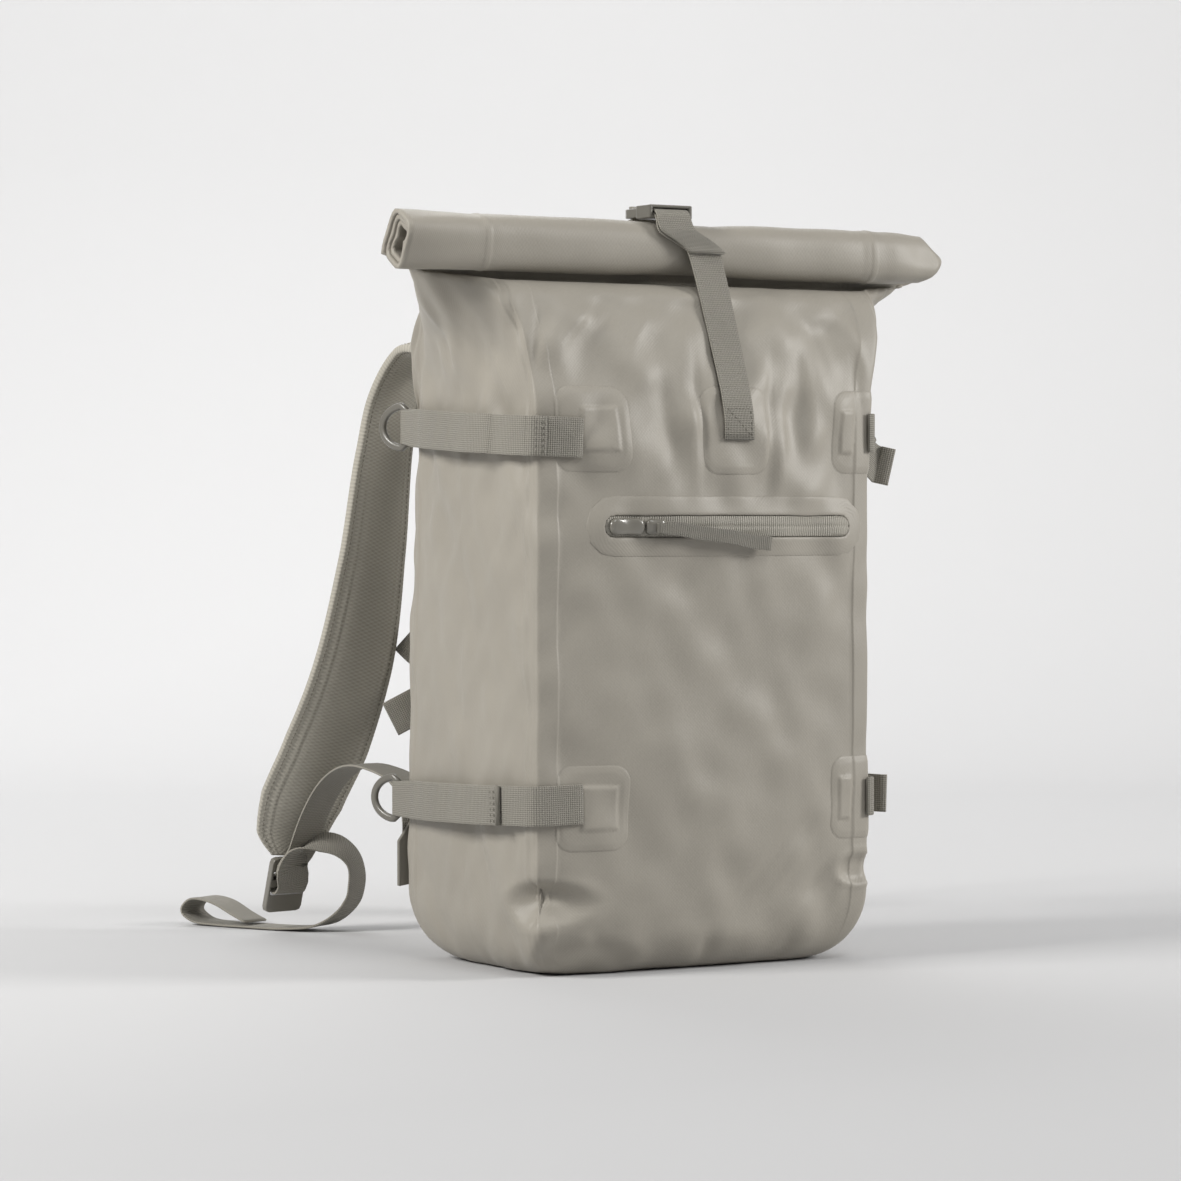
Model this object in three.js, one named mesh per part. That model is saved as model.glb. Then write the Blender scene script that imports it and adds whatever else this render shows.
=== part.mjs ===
// A rolltop backpack of welded fabric, standing on its flat base with the shoulder straps behind it.
// Millimetres, +Z up, the front panel faces -Y, +X is to the right seen from the front.
// The origin lies on the floor under the middle of the base.
import * as THREE from "three";

// Main sizes
const bodyWidth = 252;
const bodyDepth = 172;
const neckHeight = 456; // where the flattened neck starts to roll
const fabricWall = 2;
const neckWall = 1.2;
const neckGap = 0.6; // between the front and back wall of the flattened neck
const clearance = 0.35; // between pieces that touch
const bottomRise = 45; // height of the rounded edge round the base
const bottomInset = 24;
const frontRound = 4;
const backRound = 10;
const baseRound = 34; // the corners are rounder by this much at the base
const frontBulge = 13;
const sideBulge = 5;
const foldDepth = 8;

// The roll
const rollDepth = 33;
const rollTall = 39;
const rollLean = -45; // its middle, forward of the middle of the base
const rollLift = 6; // its middle, above the neck height
const rollPitch = 3.5;
const rollTurns = 2.7;
const rollHalf = 206; // half its length
const rollShift = 3; // its middle, right of the middle of the base
const rollStepAngle = 36;
const rollStartAngle = -22;
const rollRecess = 1.6; // each turn ends this much further in than the one outside it
const endCut = 14; // how much further in the roll's top and bottom end than its front, at the right

// Webbing, rings and patches
const webWidth = 25;
const webThick = 1.6;
const patchThick = 1.4;
const patchRound = 11;
const barRadius = 2;
const bowRadius = 2.5;
const ringReach = 21;
const wrapWidth = 22.5; // the webbing gathers to this width round a ring's bar
const ringTall = 2 * barRadius + wrapWidth + 1.2;
const upperStrapHeight = 345;
const lowerStrapHeight = 107;
const sidePatchWidth = 50;
const sidePatchTall = 54;
const leftPatchMiddle = 88; // from the middle of the front to the middle of a side patch
const rightPatchMiddle = 118;
const closurePatchWidth = 50;
const closurePatchTall = 56;
const closureX = 15;
const closureHeight = 345;
const sewnLow = closureHeight - 6; // the closing strap's lower end
const closureWidth = 22;

// The zipped pocket
const zipHeight = 284;
const zipX = 12;
const zipLength = 188;
const zipTall = 14;
const zipBorder = 12;
const zipTapeThick = 1.2;
const garageLength = 26;
const sliderLength = 12;
const pullLength = 84;
const pullWidth = 9;
const pullThick = 1.4;

// Back panel and shoulder straps
const panelWidth = 196;
const panelTall = 306;
const panelMiddle = 205;
const panelThick = 10;
const adjusterWidth = 31;
const adjusterLength = 40;
const adjusterThick = 5;
const slotTall = 6;

// Buckle on the roll
const buckleWidth = 33;
const buckleLength = 17;
const buckleThick = 8.8;
const hookThick = 6;

const colors = {
  fabric: 0x9c968a,
  webbing: 0x8b8679,
  foam: 0x8d887c,
  plastic: 0x807b70,
};

// Columns: up is a share of neckHeight, wide of bodyWidth, depth and lean of bodyDepth, out (how far the
// side fold stands out of the corners) of half of bodyDepth, bulge of frontBulge; tip is the slope of the
// section in degrees, its front being the lower side. The steps column is the number of mesh rows from
// this row to the next.
const sections = [
  { up: 0.099, wide: 1, depth: 1, lean: 0, out: 0, tip: 0, bulge: 0.5, steps: 3 },
  { up: 0.241, wide: 1, depth: 1, lean: 0, out: 0, tip: 0, bulge: 0.8, steps: 3 },
  { up: 0.439, wide: 1, depth: 1, lean: 0, out: 0, tip: 0, bulge: 0.85, steps: 3 },
  { up: 0.636, wide: 1, depth: 1, lean: 0, out: 0, tip: 0, bulge: 1, steps: 3 },
  { up: 0.746, wide: 1.005, depth: 1, lean: 0, out: 0, tip: 0, bulge: 1, steps: 2 },
  { up: 0.811, wide: 1.02, depth: 1, lean: 0, out: 0, tip: 0, bulge: 0.6, steps: 2 },
  { up: 0.86, wide: 1.05, depth: 0.965, lean: 0, out: 0.05, tip: 0, bulge: 0.3, steps: 1 },
  { up: 0.895, wide: 1.075, depth: 0.9, lean: -0.012, out: 0.15, tip: 0, bulge: 0.15, steps: 1 },
  { up: 0.937, wide: 1.09, depth: 0.74, lean: -0.052, out: 0.37, tip: 4, bulge: 0.1, steps: 1 },
  { up: 0.965, wide: 1.08, depth: 0.51, lean: -0.117, out: 0.52, tip: 8, bulge: 0.35, steps: 1 },
  { up: 0.979, wide: 1.08, depth: 0.28, lean: -0.15, out: 0.6, tip: 16, bulge: 0.2, steps: 1 },
  { up: 0.986, wide: 1.08, depth: 0.1, lean: -0.172, out: 0.72, tip: 55, bulge: 0.05, steps: 1 },
];
const rimRow = 8; // the body ends and the collar starts at this row
const rollRow = sections.length + 1; // the flattened neck starts to roll here

// Dents (negative depth) and ridges of the skin. Columns: around counts 0 at the middle of the front,
// 1 at its corner, 2 at the middle of the side, 3 at the back corner and 4 at the middle of the back, and
// is negative on the left; up is a share of neckHeight; wide is in units of around, tall a share of
// neckHeight, turn in degrees, depth a share of foldDepth.
const folds = [
  { around: -1.02, up: 0.112, wide: 0.17, tall: 0.026, turn: 0, depth: -0.95 },
  { around: -0.9, up: 0.035, wide: 0.18, tall: 0.018, turn: 12, depth: -0.5 },
  { around: -1.0, up: 0.85, wide: 0.22, tall: 0.07, turn: 0, depth: -0.5 },
  { around: -0.82, up: 0.9, wide: 0.07, tall: 0.045, turn: -28, depth: 0.4 },
  { around: -0.62, up: 0.9, wide: 0.08, tall: 0.05, turn: -35, depth: -0.4 },
  { around: -0.26, up: 0.78, wide: 0.07, tall: 0.09, turn: 8, depth: -0.45 },
  { around: 0.52, up: 0.78, wide: 0.07, tall: 0.09, turn: -8, depth: -0.5 },
  { around: 0.72, up: 0.89, wide: 0.08, tall: 0.04, turn: 25, depth: -0.4 },
  { around: 0.35, up: 0.42, wide: 0.3, tall: 0.1, turn: 0, depth: -0.35 },
  { around: -0.3, up: 0.3, wide: 0.25, tall: 0.09, turn: 20, depth: 0.25 },
  { around: 0.3, up: 0.1, wide: 0.28, tall: 0.03, turn: 30, depth: -0.5 },
  { around: 0.75, up: 0.08, wide: 0.12, tall: 0.05, turn: 40, depth: -0.5 },
  { around: -1.9, up: 0.2, wide: 0.18, tall: 0.06, turn: 18, depth: -0.3 },
  { around: -2.2, up: 0.17, wide: 0.16, tall: 0.05, turn: -22, depth: 0.25 },
  { around: -1.5, up: 0.9, wide: 0.2, tall: 0.05, turn: 20, depth: -0.4 },
  { around: 1.5, up: 0.9, wide: 0.2, tall: 0.05, turn: -20, depth: -0.4 },
  { around: -2.9, up: 0.8, wide: 0.45, tall: 0.28, turn: 0, depth: -0.85 },
  { around: 2.9, up: 0.8, wide: 0.45, tall: 0.28, turn: 0, depth: -0.85 },
  { around: 4.0, up: 0.93, wide: 0.5, tall: 0.03, turn: 0, depth: -0.5 },
];

// The roll from its left end to its right end. Columns: along is a share of half the roll, deep and tall
// are shares of rollDepth and rollTall, turn is in degrees, square is the power of the section's curve: 2
// is an ellipse and more is squarer.
const rollSections = [
  { along: -1, deep: 0.88, tall: 1, turn: 30, square: 4 },
  { along: -0.85, deep: 1, tall: 1, turn: 14, square: 3 },
  { along: -0.3, deep: 1, tall: 1.02, turn: 0, square: 2.5 },
  { along: 0.05, deep: 0.96, tall: 0.94, turn: 0, square: 2.4 },
  { along: 0.35, deep: 1, tall: 1, turn: 0, square: 2.5 },
  { along: 0.8, deep: 1, tall: 0.98, turn: -8, square: 2.6 },
  { along: 1, deep: 0.62, tall: 0.86, turn: -22, square: 3 },
];

const halfWidth = bodyWidth / 2;
const halfDepth = bodyDepth / 2;
const neckHalf = halfWidth * sections[sections.length - 1].wide;
const flatHalf = neckWall + neckGap / 2; // half the thickness of the flattened neck
const foldSpan = 0.03; // the side fold takes this much of around on both sides of 2
const webHalf = webThick / 2;

const vector = (x, y, z) => new THREE.Vector3(x, y, z);
const radians = THREE.MathUtils.degToRad;
const limit = THREE.MathUtils.clamp;

// A smooth value of a column between the rows of a table; at counts in rows.
function between(table, column, at) {
  const last = table.length - 1;
  const row = limit(Math.floor(at), 0, last - 1);
  const f = at - row;
  const value = (k) => table[limit(k, 0, last)][column];
  const [a, b, c, d] = [value(row - 1), value(row), value(row + 1), value(row + 2)];
  return b + 0.5 * f * (c - a + f * (2 * a - 5 * b + 4 * c - d + f * (3 * (b - c) + d - a)));
}

// The same, where the table has a column that says where each row lies.
function lookup(table, key, column, at) {
  let row = 0;
  while (row < table.length - 2 && table[row + 1][key] < at) row += 1;
  const low = table[row][key];
  const high = table[row + 1][key];
  return between(table, column, row + limit((at - low) / (high - low), 0, 1));
}

// The distance from the roll's middle to its outside at an angle: 0 is behind, 90 on top, 180 in front.
function rollRadius(angle, x) {
  const along = limit((x - rollShift) / rollHalf, -1, 1);
  const deep = 0.5 * rollDepth * lookup(rollSections, "along", "deep", along);
  const tall = 0.5 * rollTall * lookup(rollSections, "along", "tall", along);
  const turn = lookup(rollSections, "along", "turn", along);
  const a = radians(angle - turn);
  const power = lookup(rollSections, "along", "square", along);
  const across = Math.pow(Math.abs(Math.cos(a)) / deep, power);
  const upward = Math.pow(Math.abs(Math.sin(a)) / tall, power);
  return Math.pow(across + upward, -1 / power);
}

// A point over the roll, with x and the distance from its outside given.
function overRoll(angle, x, lift) {
  const radius = rollRadius(angle, x) + lift;
  const a = radians(angle);
  return vector(x, rollLean + radius * Math.cos(a), neckHeight + rollLift + radius * Math.sin(a));
}

// The middle of the neck's thickness along its spiral.
function rollPoint(angle, x) {
  const sunk = flatHalf + (rollPitch * (angle - rollStartAngle)) / 360;
  const { y, z } = overRoll(angle, x, -sunk);
  return { y, z, tip: angle };
}

// The section that the fabric has at a row: its middle, slope and half depth.
function spine(row, x) {
  if (row < 1) {
    const angle = (row * Math.PI) / 2;
    return {
      y: 0,
      z: bottomRise * (1 - Math.cos(angle)),
      tip: 0,
      half: halfDepth,
      wide: halfWidth,
      out: 0,
      inset: bottomInset * (1 - Math.sin(angle)),
      soft: baseRound * (1 - Math.sin(angle)),
      bulge: sections[0].bulge * Math.max(Math.sin(angle), 0),
    };
  }
  if (row >= rollRow) {
    const angle = rollStartAngle + (row - rollRow) * rollStepAngle;
    const flat = { half: flatHalf, wide: neckHalf, out: rollHalf - neckHalf, inset: 0, soft: 0, bulge: 0 };
    return { ...rollPoint(angle, x), ...flat };
  }
  const start = rollPoint(rollStartAngle, x);
  const end = {
    up: start.z / neckHeight,
    wide: neckHalf / halfWidth,
    depth: flatHalf / halfDepth,
    lean: start.y / bodyDepth,
    out: (rollHalf - neckHalf) / halfDepth,
    tip: rollStartAngle,
    bulge: 0,
  };
  const table = [...sections, end];
  const at = row - 1;
  return {
    y: bodyDepth * between(table, "lean", at),
    z: row === 1 ? bottomRise : neckHeight * between(table, "up", at),
    tip: between(table, "tip", at),
    half: Math.max(halfDepth * between(table, "depth", at), flatHalf),
    wide: halfWidth * between(table, "wide", at),
    out: Math.max(halfDepth * between(table, "out", at), 0),
    inset: 0,
    soft: 0,
    bulge: Math.max(between(table, "bulge", at), 0),
  };
}

// How far the skin stands out of its plain section.
function relief(around, z, bulge) {
  const up = z / neckHeight;
  let out = 0;
  for (const fold of folds) {
    const turn = radians(fold.turn);
    const du = around - fold.around;
    const dv = (up - fold.up) * (neckHeight / halfWidth);
    const u = (du * Math.cos(turn) + dv * Math.sin(turn)) / fold.wide;
    const v = (dv * Math.cos(turn) - du * Math.sin(turn)) / ((fold.tall * neckHeight) / halfWidth);
    out += foldDepth * fold.depth * Math.exp(-u * u - v * v);
  }
  const far = Math.abs(around);
  if (far < 1) out += frontBulge * bulge * (1 - Math.pow(far, 2.4));
  if (far > 1 && far < 3) out += sideBulge * bulge * (1 - (far - 2) * (far - 2));
  return out;
}

// One corner of the section, rounded: from one neighbour towards the other.
function rounded(before, corner, after, cut, step) {
  const start = corner.clone().add(before.clone().sub(corner).setLength(cut));
  const end = corner.clone().add(after.clone().sub(corner).setLength(cut));
  const s = 1 - step;
  return start
    .multiplyScalar(s * s)
    .addScaledVector(corner, 2 * s * step)
    .addScaledVector(end, step * step);
}

// A point of the plain section, x across and y through it, with the front at negative y.
function sectionPoint(around, { half, wide, out, inset, soft }) {
  const far = Math.abs(around);
  const width = wide - inset;
  const depth = half - inset;
  const side = width + out;
  const edge = Math.min(flatHalf, depth);
  const corners = [
    { at: 0, p: new THREE.Vector2(0, -depth), cut: 0 },
    { at: 1, p: new THREE.Vector2(width, -depth), cut: frontRound + soft },
    { at: 2 - foldSpan, p: new THREE.Vector2(side, -edge), cut: 0 },
    { at: 2 + foldSpan, p: new THREE.Vector2(side, edge), cut: 0 },
    { at: 3, p: new THREE.Vector2(width, depth), cut: backRound + soft },
    { at: 4, p: new THREE.Vector2(0, depth), cut: 0 },
  ];
  let k = 0;
  while (k < corners.length - 2 && corners[k + 1].at < far) k += 1;
  const [from, to] = [corners[k], corners[k + 1]];
  const f = (far - from.at) / (to.at - from.at);
  const length = from.p.distanceTo(to.p);
  let p = from.p.clone().lerp(to.p, f);
  const nearFrom = f * length;
  const nearTo = length - nearFrom;
  if (nearFrom < from.cut) {
    p = rounded(corners[k - 1].p, from.p, to.p, from.cut, 0.5 + nearFrom / (2 * from.cut));
  } else if (nearTo < to.cut) {
    p = rounded(from.p, to.p, corners[k + 2].p, to.cut, 0.5 - nearTo / (2 * to.cut));
  }
  if (around < 0) p.x = -p.x;
  return p;
}

// A point of the fabric's outer skin.
function fabric(row, around) {
  let wrapped = around;
  if (around > 4) wrapped = around - 8;
  if (around < -4) wrapped = around + 8;
  const flat = spine(row, 0);
  flat.soft = Math.max(flat.soft, 0);
  const p = sectionPoint(wrapped, flat);
  const step = 0.02;
  const ahead = sectionPoint(limit(wrapped + step, -4, 4), flat);
  const behind = sectionPoint(limit(wrapped - step, -4, 4), flat);
  const run = ahead.sub(behind).normalize();
  const loose = limit((flat.half - flatHalf) / (0.3 * halfDepth), 0, 1);
  const out = loose * relief(wrapped, flat.z, flat.bulge);
  p.x += run.y * out + rollShift * limit((row - rimRow) / 2 + 1, 0, 1);
  p.y -= run.x * out;
  if (row > rollRow) {
    const turns = ((row - rollRow) * rollStepAngle) / 360;
    p.x -= (p.x - rollShift) * ((rollRecess * turns) / rollHalf);
  }
  const far = Math.max((p.x - rollShift) / rollHalf - 0.8, 0) / 0.2;
  const steep = Math.sin(radians(rollStartAngle + (row - rollRow) * rollStepAngle));
  p.x -= endCut * far * far * steep * steep * limit(row - rollRow + 1, 0, 1);
  const centre = spine(row, p.x);
  const tip = radians(centre.tip);
  return vector(p.x, centre.y + p.y * Math.cos(tip), centre.z + p.y * Math.sin(tip));
}

// The direction that points out of the skin.
function outward(row, around) {
  const step = 0.02;
  const run = fabric(row, around + step).sub(fabric(row, around - step));
  const rise = fabric(row + step, around).sub(fabric(row - step, around));
  return run.cross(rise).normalize();
}

function skin(row, around, lift) {
  return fabric(row, around).addScaledVector(outward(row, around), lift);
}

// The row of the section that lies at a height.
function rowAt(height) {
  let low = 0;
  let high = rimRow + 2;
  for (let k = 0; k < 40; k += 1) {
    const middle = (low + high) / 2;
    if (spine(middle, 0).z < height) low = middle;
    else high = middle;
  }
  return low;
}

// A closed solid through rings of equally many points, with both ends capped or joined to each other. From
// the ring that turned counts on, the faces are split the other way, as an inner wall is that comes back.
function ringSolid(rings, joined = false, turned = rings.length) {
  const count = rings[0].length;
  const points = rings.flat();
  const faces = [];
  const strips = joined ? rings.length : rings.length - 1;
  for (let r = 0; r < strips; r += 1) {
    const next = ((r + 1) % rings.length) * count;
    for (let k = 0; k < count; k += 1) {
      const j = (k + 1) % count;
      const [a, b, c, d] = [r * count + k, r * count + j, next + j, next + k];
      if (r < turned) faces.push([a, b, c], [a, c, d]);
      else faces.push([a, b, d], [b, c, d]);
    }
  }
  if (!joined) {
    const lastStart = points.length - count;
    for (const [start, flip] of [
      [0, true],
      [lastStart, false],
    ]) {
      const hub = vector(0, 0, 0);
      for (let k = 0; k < count; k += 1) hub.addScaledVector(points[start + k], 1 / count);
      const hubIndex = points.length;
      points.push(hub);
      for (let k = 0; k < count; k += 1) {
        const j = (k + 1) % count;
        const face = [start + k, start + j, hubIndex];
        faces.push(flip ? face.reverse() : face);
      }
    }
  }
  let volume = 0;
  for (const [a, b, c] of faces) {
    volume += points[a].dot(points[b].clone().cross(points[c]));
  }
  const index = faces.flatMap((face) => (volume < 0 ? [...face].reverse() : face));
  const geometry = new THREE.BufferGeometry();
  geometry.setFromPoints(points);
  geometry.setIndex(index);
  geometry.computeVertexNormals();
  return geometry;
}

// A strip of webbing: stops are { p, across, thick } from end to end. Where a stop is sheared, the strip
// runs at a slant to its across direction.
function bandSolid(stops, width) {
  const rings = stops.map((stop, k) => {
    const before = stops[Math.max(k - 1, 0)].p;
    const after = stops[Math.min(k + 1, stops.length - 1)].p;
    const run = after.clone().sub(before).normalize();
    const normal = run.clone().cross(stop.across).normalize();
    const across = stop.sheared ? stop.across : normal.clone().cross(run).normalize();
    const w = (stop.width ?? width) / 2;
    const t = (stop.thick ?? webThick) / 2;
    return [
      [-w, -t],
      [w, -t],
      [w, t],
      [-w, t],
    ].map(([u, v]) => stop.p.clone().addScaledVector(across, u).addScaledVector(normal, v));
  });
  return ringSolid(rings);
}

// Points along a smooth curve, with the across direction and other columns taken between the given stops.
function smoothStops(stops, steps) {
  const curve = new THREE.CatmullRomCurve3(
    stops.map((stop) => stop.p),
    false,
    "centripetal",
  );
  const made = [];
  for (let k = 0; k <= steps; k += 1) {
    const at = (k / steps) * (stops.length - 1);
    const row = Math.min(Math.floor(at), stops.length - 2);
    const f = at - row;
    const mix = (column, plain) => {
      const [a, b] = [stops[row][column] ?? plain, stops[row + 1][column] ?? plain];
      return a + (b - a) * f;
    };
    made.push({
      p: curve.getPoint(k / steps),
      across: stops[row].across.clone().lerp(stops[row + 1].across, f).normalize(),
      thick: mix("thick", webThick),
      width: mix("width", webWidth),
    });
  }
  return made;
}

// The outline of a rectangle with round corners, as offsets from its middle.
function roundedOutline(width, tall, radius, widthStops, tallStops) {
  const points = [];
  const corner = (cx, cy, start) => {
    for (let k = 0; k <= 2; k += 1) {
      const a = radians(start + k * 45);
      points.push([cx + radius * Math.cos(a), cy + radius * Math.sin(a)]);
    }
  };
  const side = (from, to, stops) => {
    for (let k = 1; k <= stops; k += 1) {
      const f = k / (stops + 1);
      points.push([from[0] + (to[0] - from[0]) * f, from[1] + (to[1] - from[1]) * f]);
    }
  };
  const w = width / 2 - radius;
  const t = tall / 2 - radius;
  corner(w, t, 0);
  side([w, t + radius], [-w, t + radius], widthStops);
  corner(-w, t, 90);
  side([-w - radius, t], [-w - radius, -t], tallStops);
  corner(-w, -t, 180);
  side([-w, -t - radius], [w, -t - radius], widthStops);
  corner(w, -t, 270);
  side([w + radius, -t], [w + radius, t], tallStops);
  return points;
}

// A point of the skin from millimetres along the front, or along the back where from is 4.
function spot(from, dx, height, lift) {
  return skin(rowAt(height), from + dx / halfWidth, lift);
}

// A patch or pad that follows the skin. The profile runs from the middle of its inner face to the middle of
// its outer face: scale is the share of the outline, lift the height over the skin.
function patchSolid(from, middle, height, outline, profile) {
  const rings = profile.map(({ scale, lift }) =>
    outline.map(([dx, dz]) => spot(from, middle + dx * scale, height + dz * scale, lift)),
  );
  return ringSolid(rings);
}

const group = new THREE.Group();

function addPiece(name, geometry, color, roughness) {
  const material = new THREE.MeshStandardMaterial({ color, roughness, metalness: 0 });
  const mesh = new THREE.Mesh(geometry, material);
  mesh.name = name;
  group.add(mesh);
  return mesh;
}

// The ring of columns round the bag, from the middle of the back round the left, the front and the right.
function ringColumns(half) {
  const left = half.slice(1).map((a) => -a);
  return [...left.reverse(), ...half].filter((a) => a < 4);
}

const bodyColumns = ringColumns([
  0, 0.13, 0.26, 0.39, 0.52, 0.65, 0.78, 0.92, 1, 1.12, 1.33, 1.6, 1.97, 2.03, 2.4, 2.79, 3, 3.15, 3.55, 4,
]);
const collarColumns = ringColumns([0, 0.26, 0.52, 0.78, 1, 1.33, 1.65, 1.97, 2.03, 2.5, 3, 3.5, 4]);

function bodyRows() {
  const rows = [0, 0.28, 0.52, 0.76];
  for (let row = 1; row < rimRow; row += 1) {
    const { steps } = sections[row - 1];
    for (let k = 0; k < steps; k += 1) rows.push(row + k / steps);
  }
  rows.push(rimRow);
  return rows;
}

function level(ring, height) {
  for (const p of ring) p.z = height;
  return ring;
}

function buildBody() {
  const rows = bodyRows();
  const outer = rows.map((row) => bodyColumns.map((around) => fabric(row, around)));
  const inner = rows.map((row) => bodyColumns.map((around) => skin(row, around, -fabricWall)));
  const rim = spine(rimRow, 0).z;
  level(outer[0], 0);
  level(inner[0], fabricWall);
  level(outer[outer.length - 1], rim);
  level(inner[inner.length - 1], rim);
  addPiece("bag_body", ringSolid([...outer, ...inner.reverse()], false, rows.length), colors.fabric, 0.62);
}

function buildCollar() {
  const rim = spine(rimRow, 0).z + clearance;
  const rows = [rowAt(rim)];
  for (let row = rimRow + 1; row <= rollRow; row += 1) rows.push(row);
  const rollRows = Math.round((rollTurns * 360) / rollStepAngle);
  for (let k = 1; k <= rollRows; k += 1) rows.push(rollRow + k);
  const outer = rows.map((row) => collarColumns.map((around) => fabric(row, around)));
  const inner = rows.map((row) => collarColumns.map((around) => skin(row, around, -neckWall)));
  level(outer[0], rim);
  level(inner[0], rim);
  addPiece("rolled_collar", ringSolid([...outer, ...inner.reverse()], true, rows.length), colors.fabric, 0.6);
}

function buildBackPanel() {
  const outline = roundedOutline(panelWidth, panelTall, 26, 2, 4);
  const profile = [
    { scale: 0.35, lift: clearance },
    { scale: 0.7, lift: clearance },
    { scale: 0.97, lift: clearance },
    { scale: 1, lift: panelThick * 0.45 },
    { scale: 0.95, lift: panelThick },
    { scale: 0.5, lift: panelThick },
  ];
  addPiece("back_panel", patchSolid(4, 0, panelMiddle, outline, profile), colors.foam, 0.9);
}

// The share of the way round that lies so many millimetres from the middle of the front.
function aroundAt(x) {
  const far = Math.abs(x);
  const beyond = Math.max(far - halfWidth, 0) / halfDepth;
  return Math.sign(x) * (Math.min(far, halfWidth) / halfWidth + beyond);
}

// A thin patch with round corners that follows the skin, also round a front corner.
function weldedPatch(middle, height, width, tall, radius, lift, thick) {
  const half = width / 2;
  const places = [-1, -0.6, -0.2, 0.2, 0.6, 1].map((share) => middle + share * (half - radius));
  for (const turn of [1 / 3, 1]) places.push(middle - half + radius * (1 - turn), middle + half - radius * (1 - turn));
  const corner = Math.sign(middle) * halfWidth;
  if (Math.abs(corner - middle) < half) places.push(corner - frontRound, corner, corner + frontRound);
  places.sort((a, b) => a - b);
  const rings = places.map((x) => {
    const fromEnd = Math.min(half - Math.abs(x - middle), radius);
    const short = radius - Math.sqrt(Math.max(radius * radius - (radius - fromEnd) * (radius - fromEnd), 0));
    const reach = tall / 2 - short;
    const face = (up, offset) => skin(rowAt(height + reach * up), aroundAt(x), offset);
    const shares = [-1, -0.33, 0.33, 1];
    const inner = shares.map((up) => face(up, lift));
    const outer = shares.map((up) => face(up, lift + thick));
    return [...inner, ...outer.reverse()];
  });
  return ringSolid(rings);
}

function buildClosurePatch() {
  const size = [closurePatchWidth, closurePatchTall, patchRound];
  const geometry = weldedPatch(closureX, closureHeight, ...size, clearance, patchThick);
  addPiece("closure_patch", geometry, colors.fabric, 0.6);
}

const onPatch = 2.6 * clearance + patchThick + webHalf; // lift of webbing that lies on a patch
const turnRadius = barRadius + 1.6 * clearance + webHalf;
const straight = vector(0, 0, 1);
const barAround = 2.92;
const barLift = 7;
const ringFlare = 20; // degrees between the ring and the side panel
const sideBow = 8; // the side straps' greatest distance from the skin
const layerGap = webThick + 0.5;

// The inner layer of a side strap from the patch to the back corner. Columns: around, and lift as a share
// of sideBow.
const innerLayer = [
  { around: 0.76, lift: 0 },
  { around: 0.88, lift: 0.02 },
  { around: 0.96, lift: 0.02 },
  { around: 1, lift: 0.12 },
  { around: 1.04, lift: 0.2 },
  { around: 1.12, lift: 0.3 },
  { around: 1.33, lift: 0.7 },
  { around: 1.6, lift: 1 },
  { around: 1.97, lift: 1 },
  { around: 2.4, lift: 0.7 },
  { around: 2.66, lift: 0.3 },
];

// The side straps. Columns: start and end say where the inner and outer layers end, in units of around.
// The outer layer's tail points away from the skin by flare and sinks by droop. The strap falls by slant
// from the back corner to the front one.
const sideStraps = [
  { name: "upper_left", side: -1, height: upperStrapHeight, start: 0.76, end: 1, flare: 0, droop: 0, slant: 9 },
  { name: "lower_left", side: -1, height: lowerStrapHeight, start: 0.76, end: 1.33, flare: 0, droop: 0, slant: -5 },
  { name: "upper_right", side: 1, height: upperStrapHeight, start: 0.96, end: 1.6, flare: 30, droop: 22, slant: 0 },
  { name: "lower_right", side: 1, height: lowerStrapHeight, start: 0.96, end: 1.6, flare: 19, droop: 1, slant: 0 },
];

// A D of round section: a straight bar along up, and a bow that reaches out along away.
function ringGeometry(bar, away, up) {
  const outline = [];
  const half = ringTall / 2;
  for (const share of [-0.84, -0.28, 0.28, 0.84]) outline.push([0, share * half]);
  for (let k = 0; k <= 8; k += 1) {
    const a = radians(90 - k * 22.5);
    outline.push([ringReach * (0.1 + 0.9 * Math.cos(a)), half * Math.sin(a)]);
  }
  const centre = [ringReach * 0.4, 0];
  const side = away.clone().cross(up).normalize();
  const rings = outline.map(([u, v], k) => {
    const [pu, pv] = outline[(k + outline.length - 1) % outline.length];
    const [nu, nv] = outline[(k + 1) % outline.length];
    const out = new THREE.Vector2(nv - pv, pu - nu).normalize();
    if (out.dot(new THREE.Vector2(u - centre[0], v - centre[1])) < 0) out.negate();
    const direction = away.clone().multiplyScalar(out.x).addScaledVector(up, out.y);
    const wide = k > 4 && k < 12 ? bowRadius : barRadius;
    const middle = bar.clone().addScaledVector(away, u).addScaledVector(up, v);
    const ring = [];
    for (let j = 0; j < 6; j += 1) {
      const a = radians(30 + 60 * j);
      const p = middle.clone().addScaledVector(direction, wide * Math.cos(a));
      ring.push(p.addScaledVector(side, barRadius * Math.sin(a)));
    }
    return ring;
  });
  return ringSolid(rings, true);
}

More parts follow.
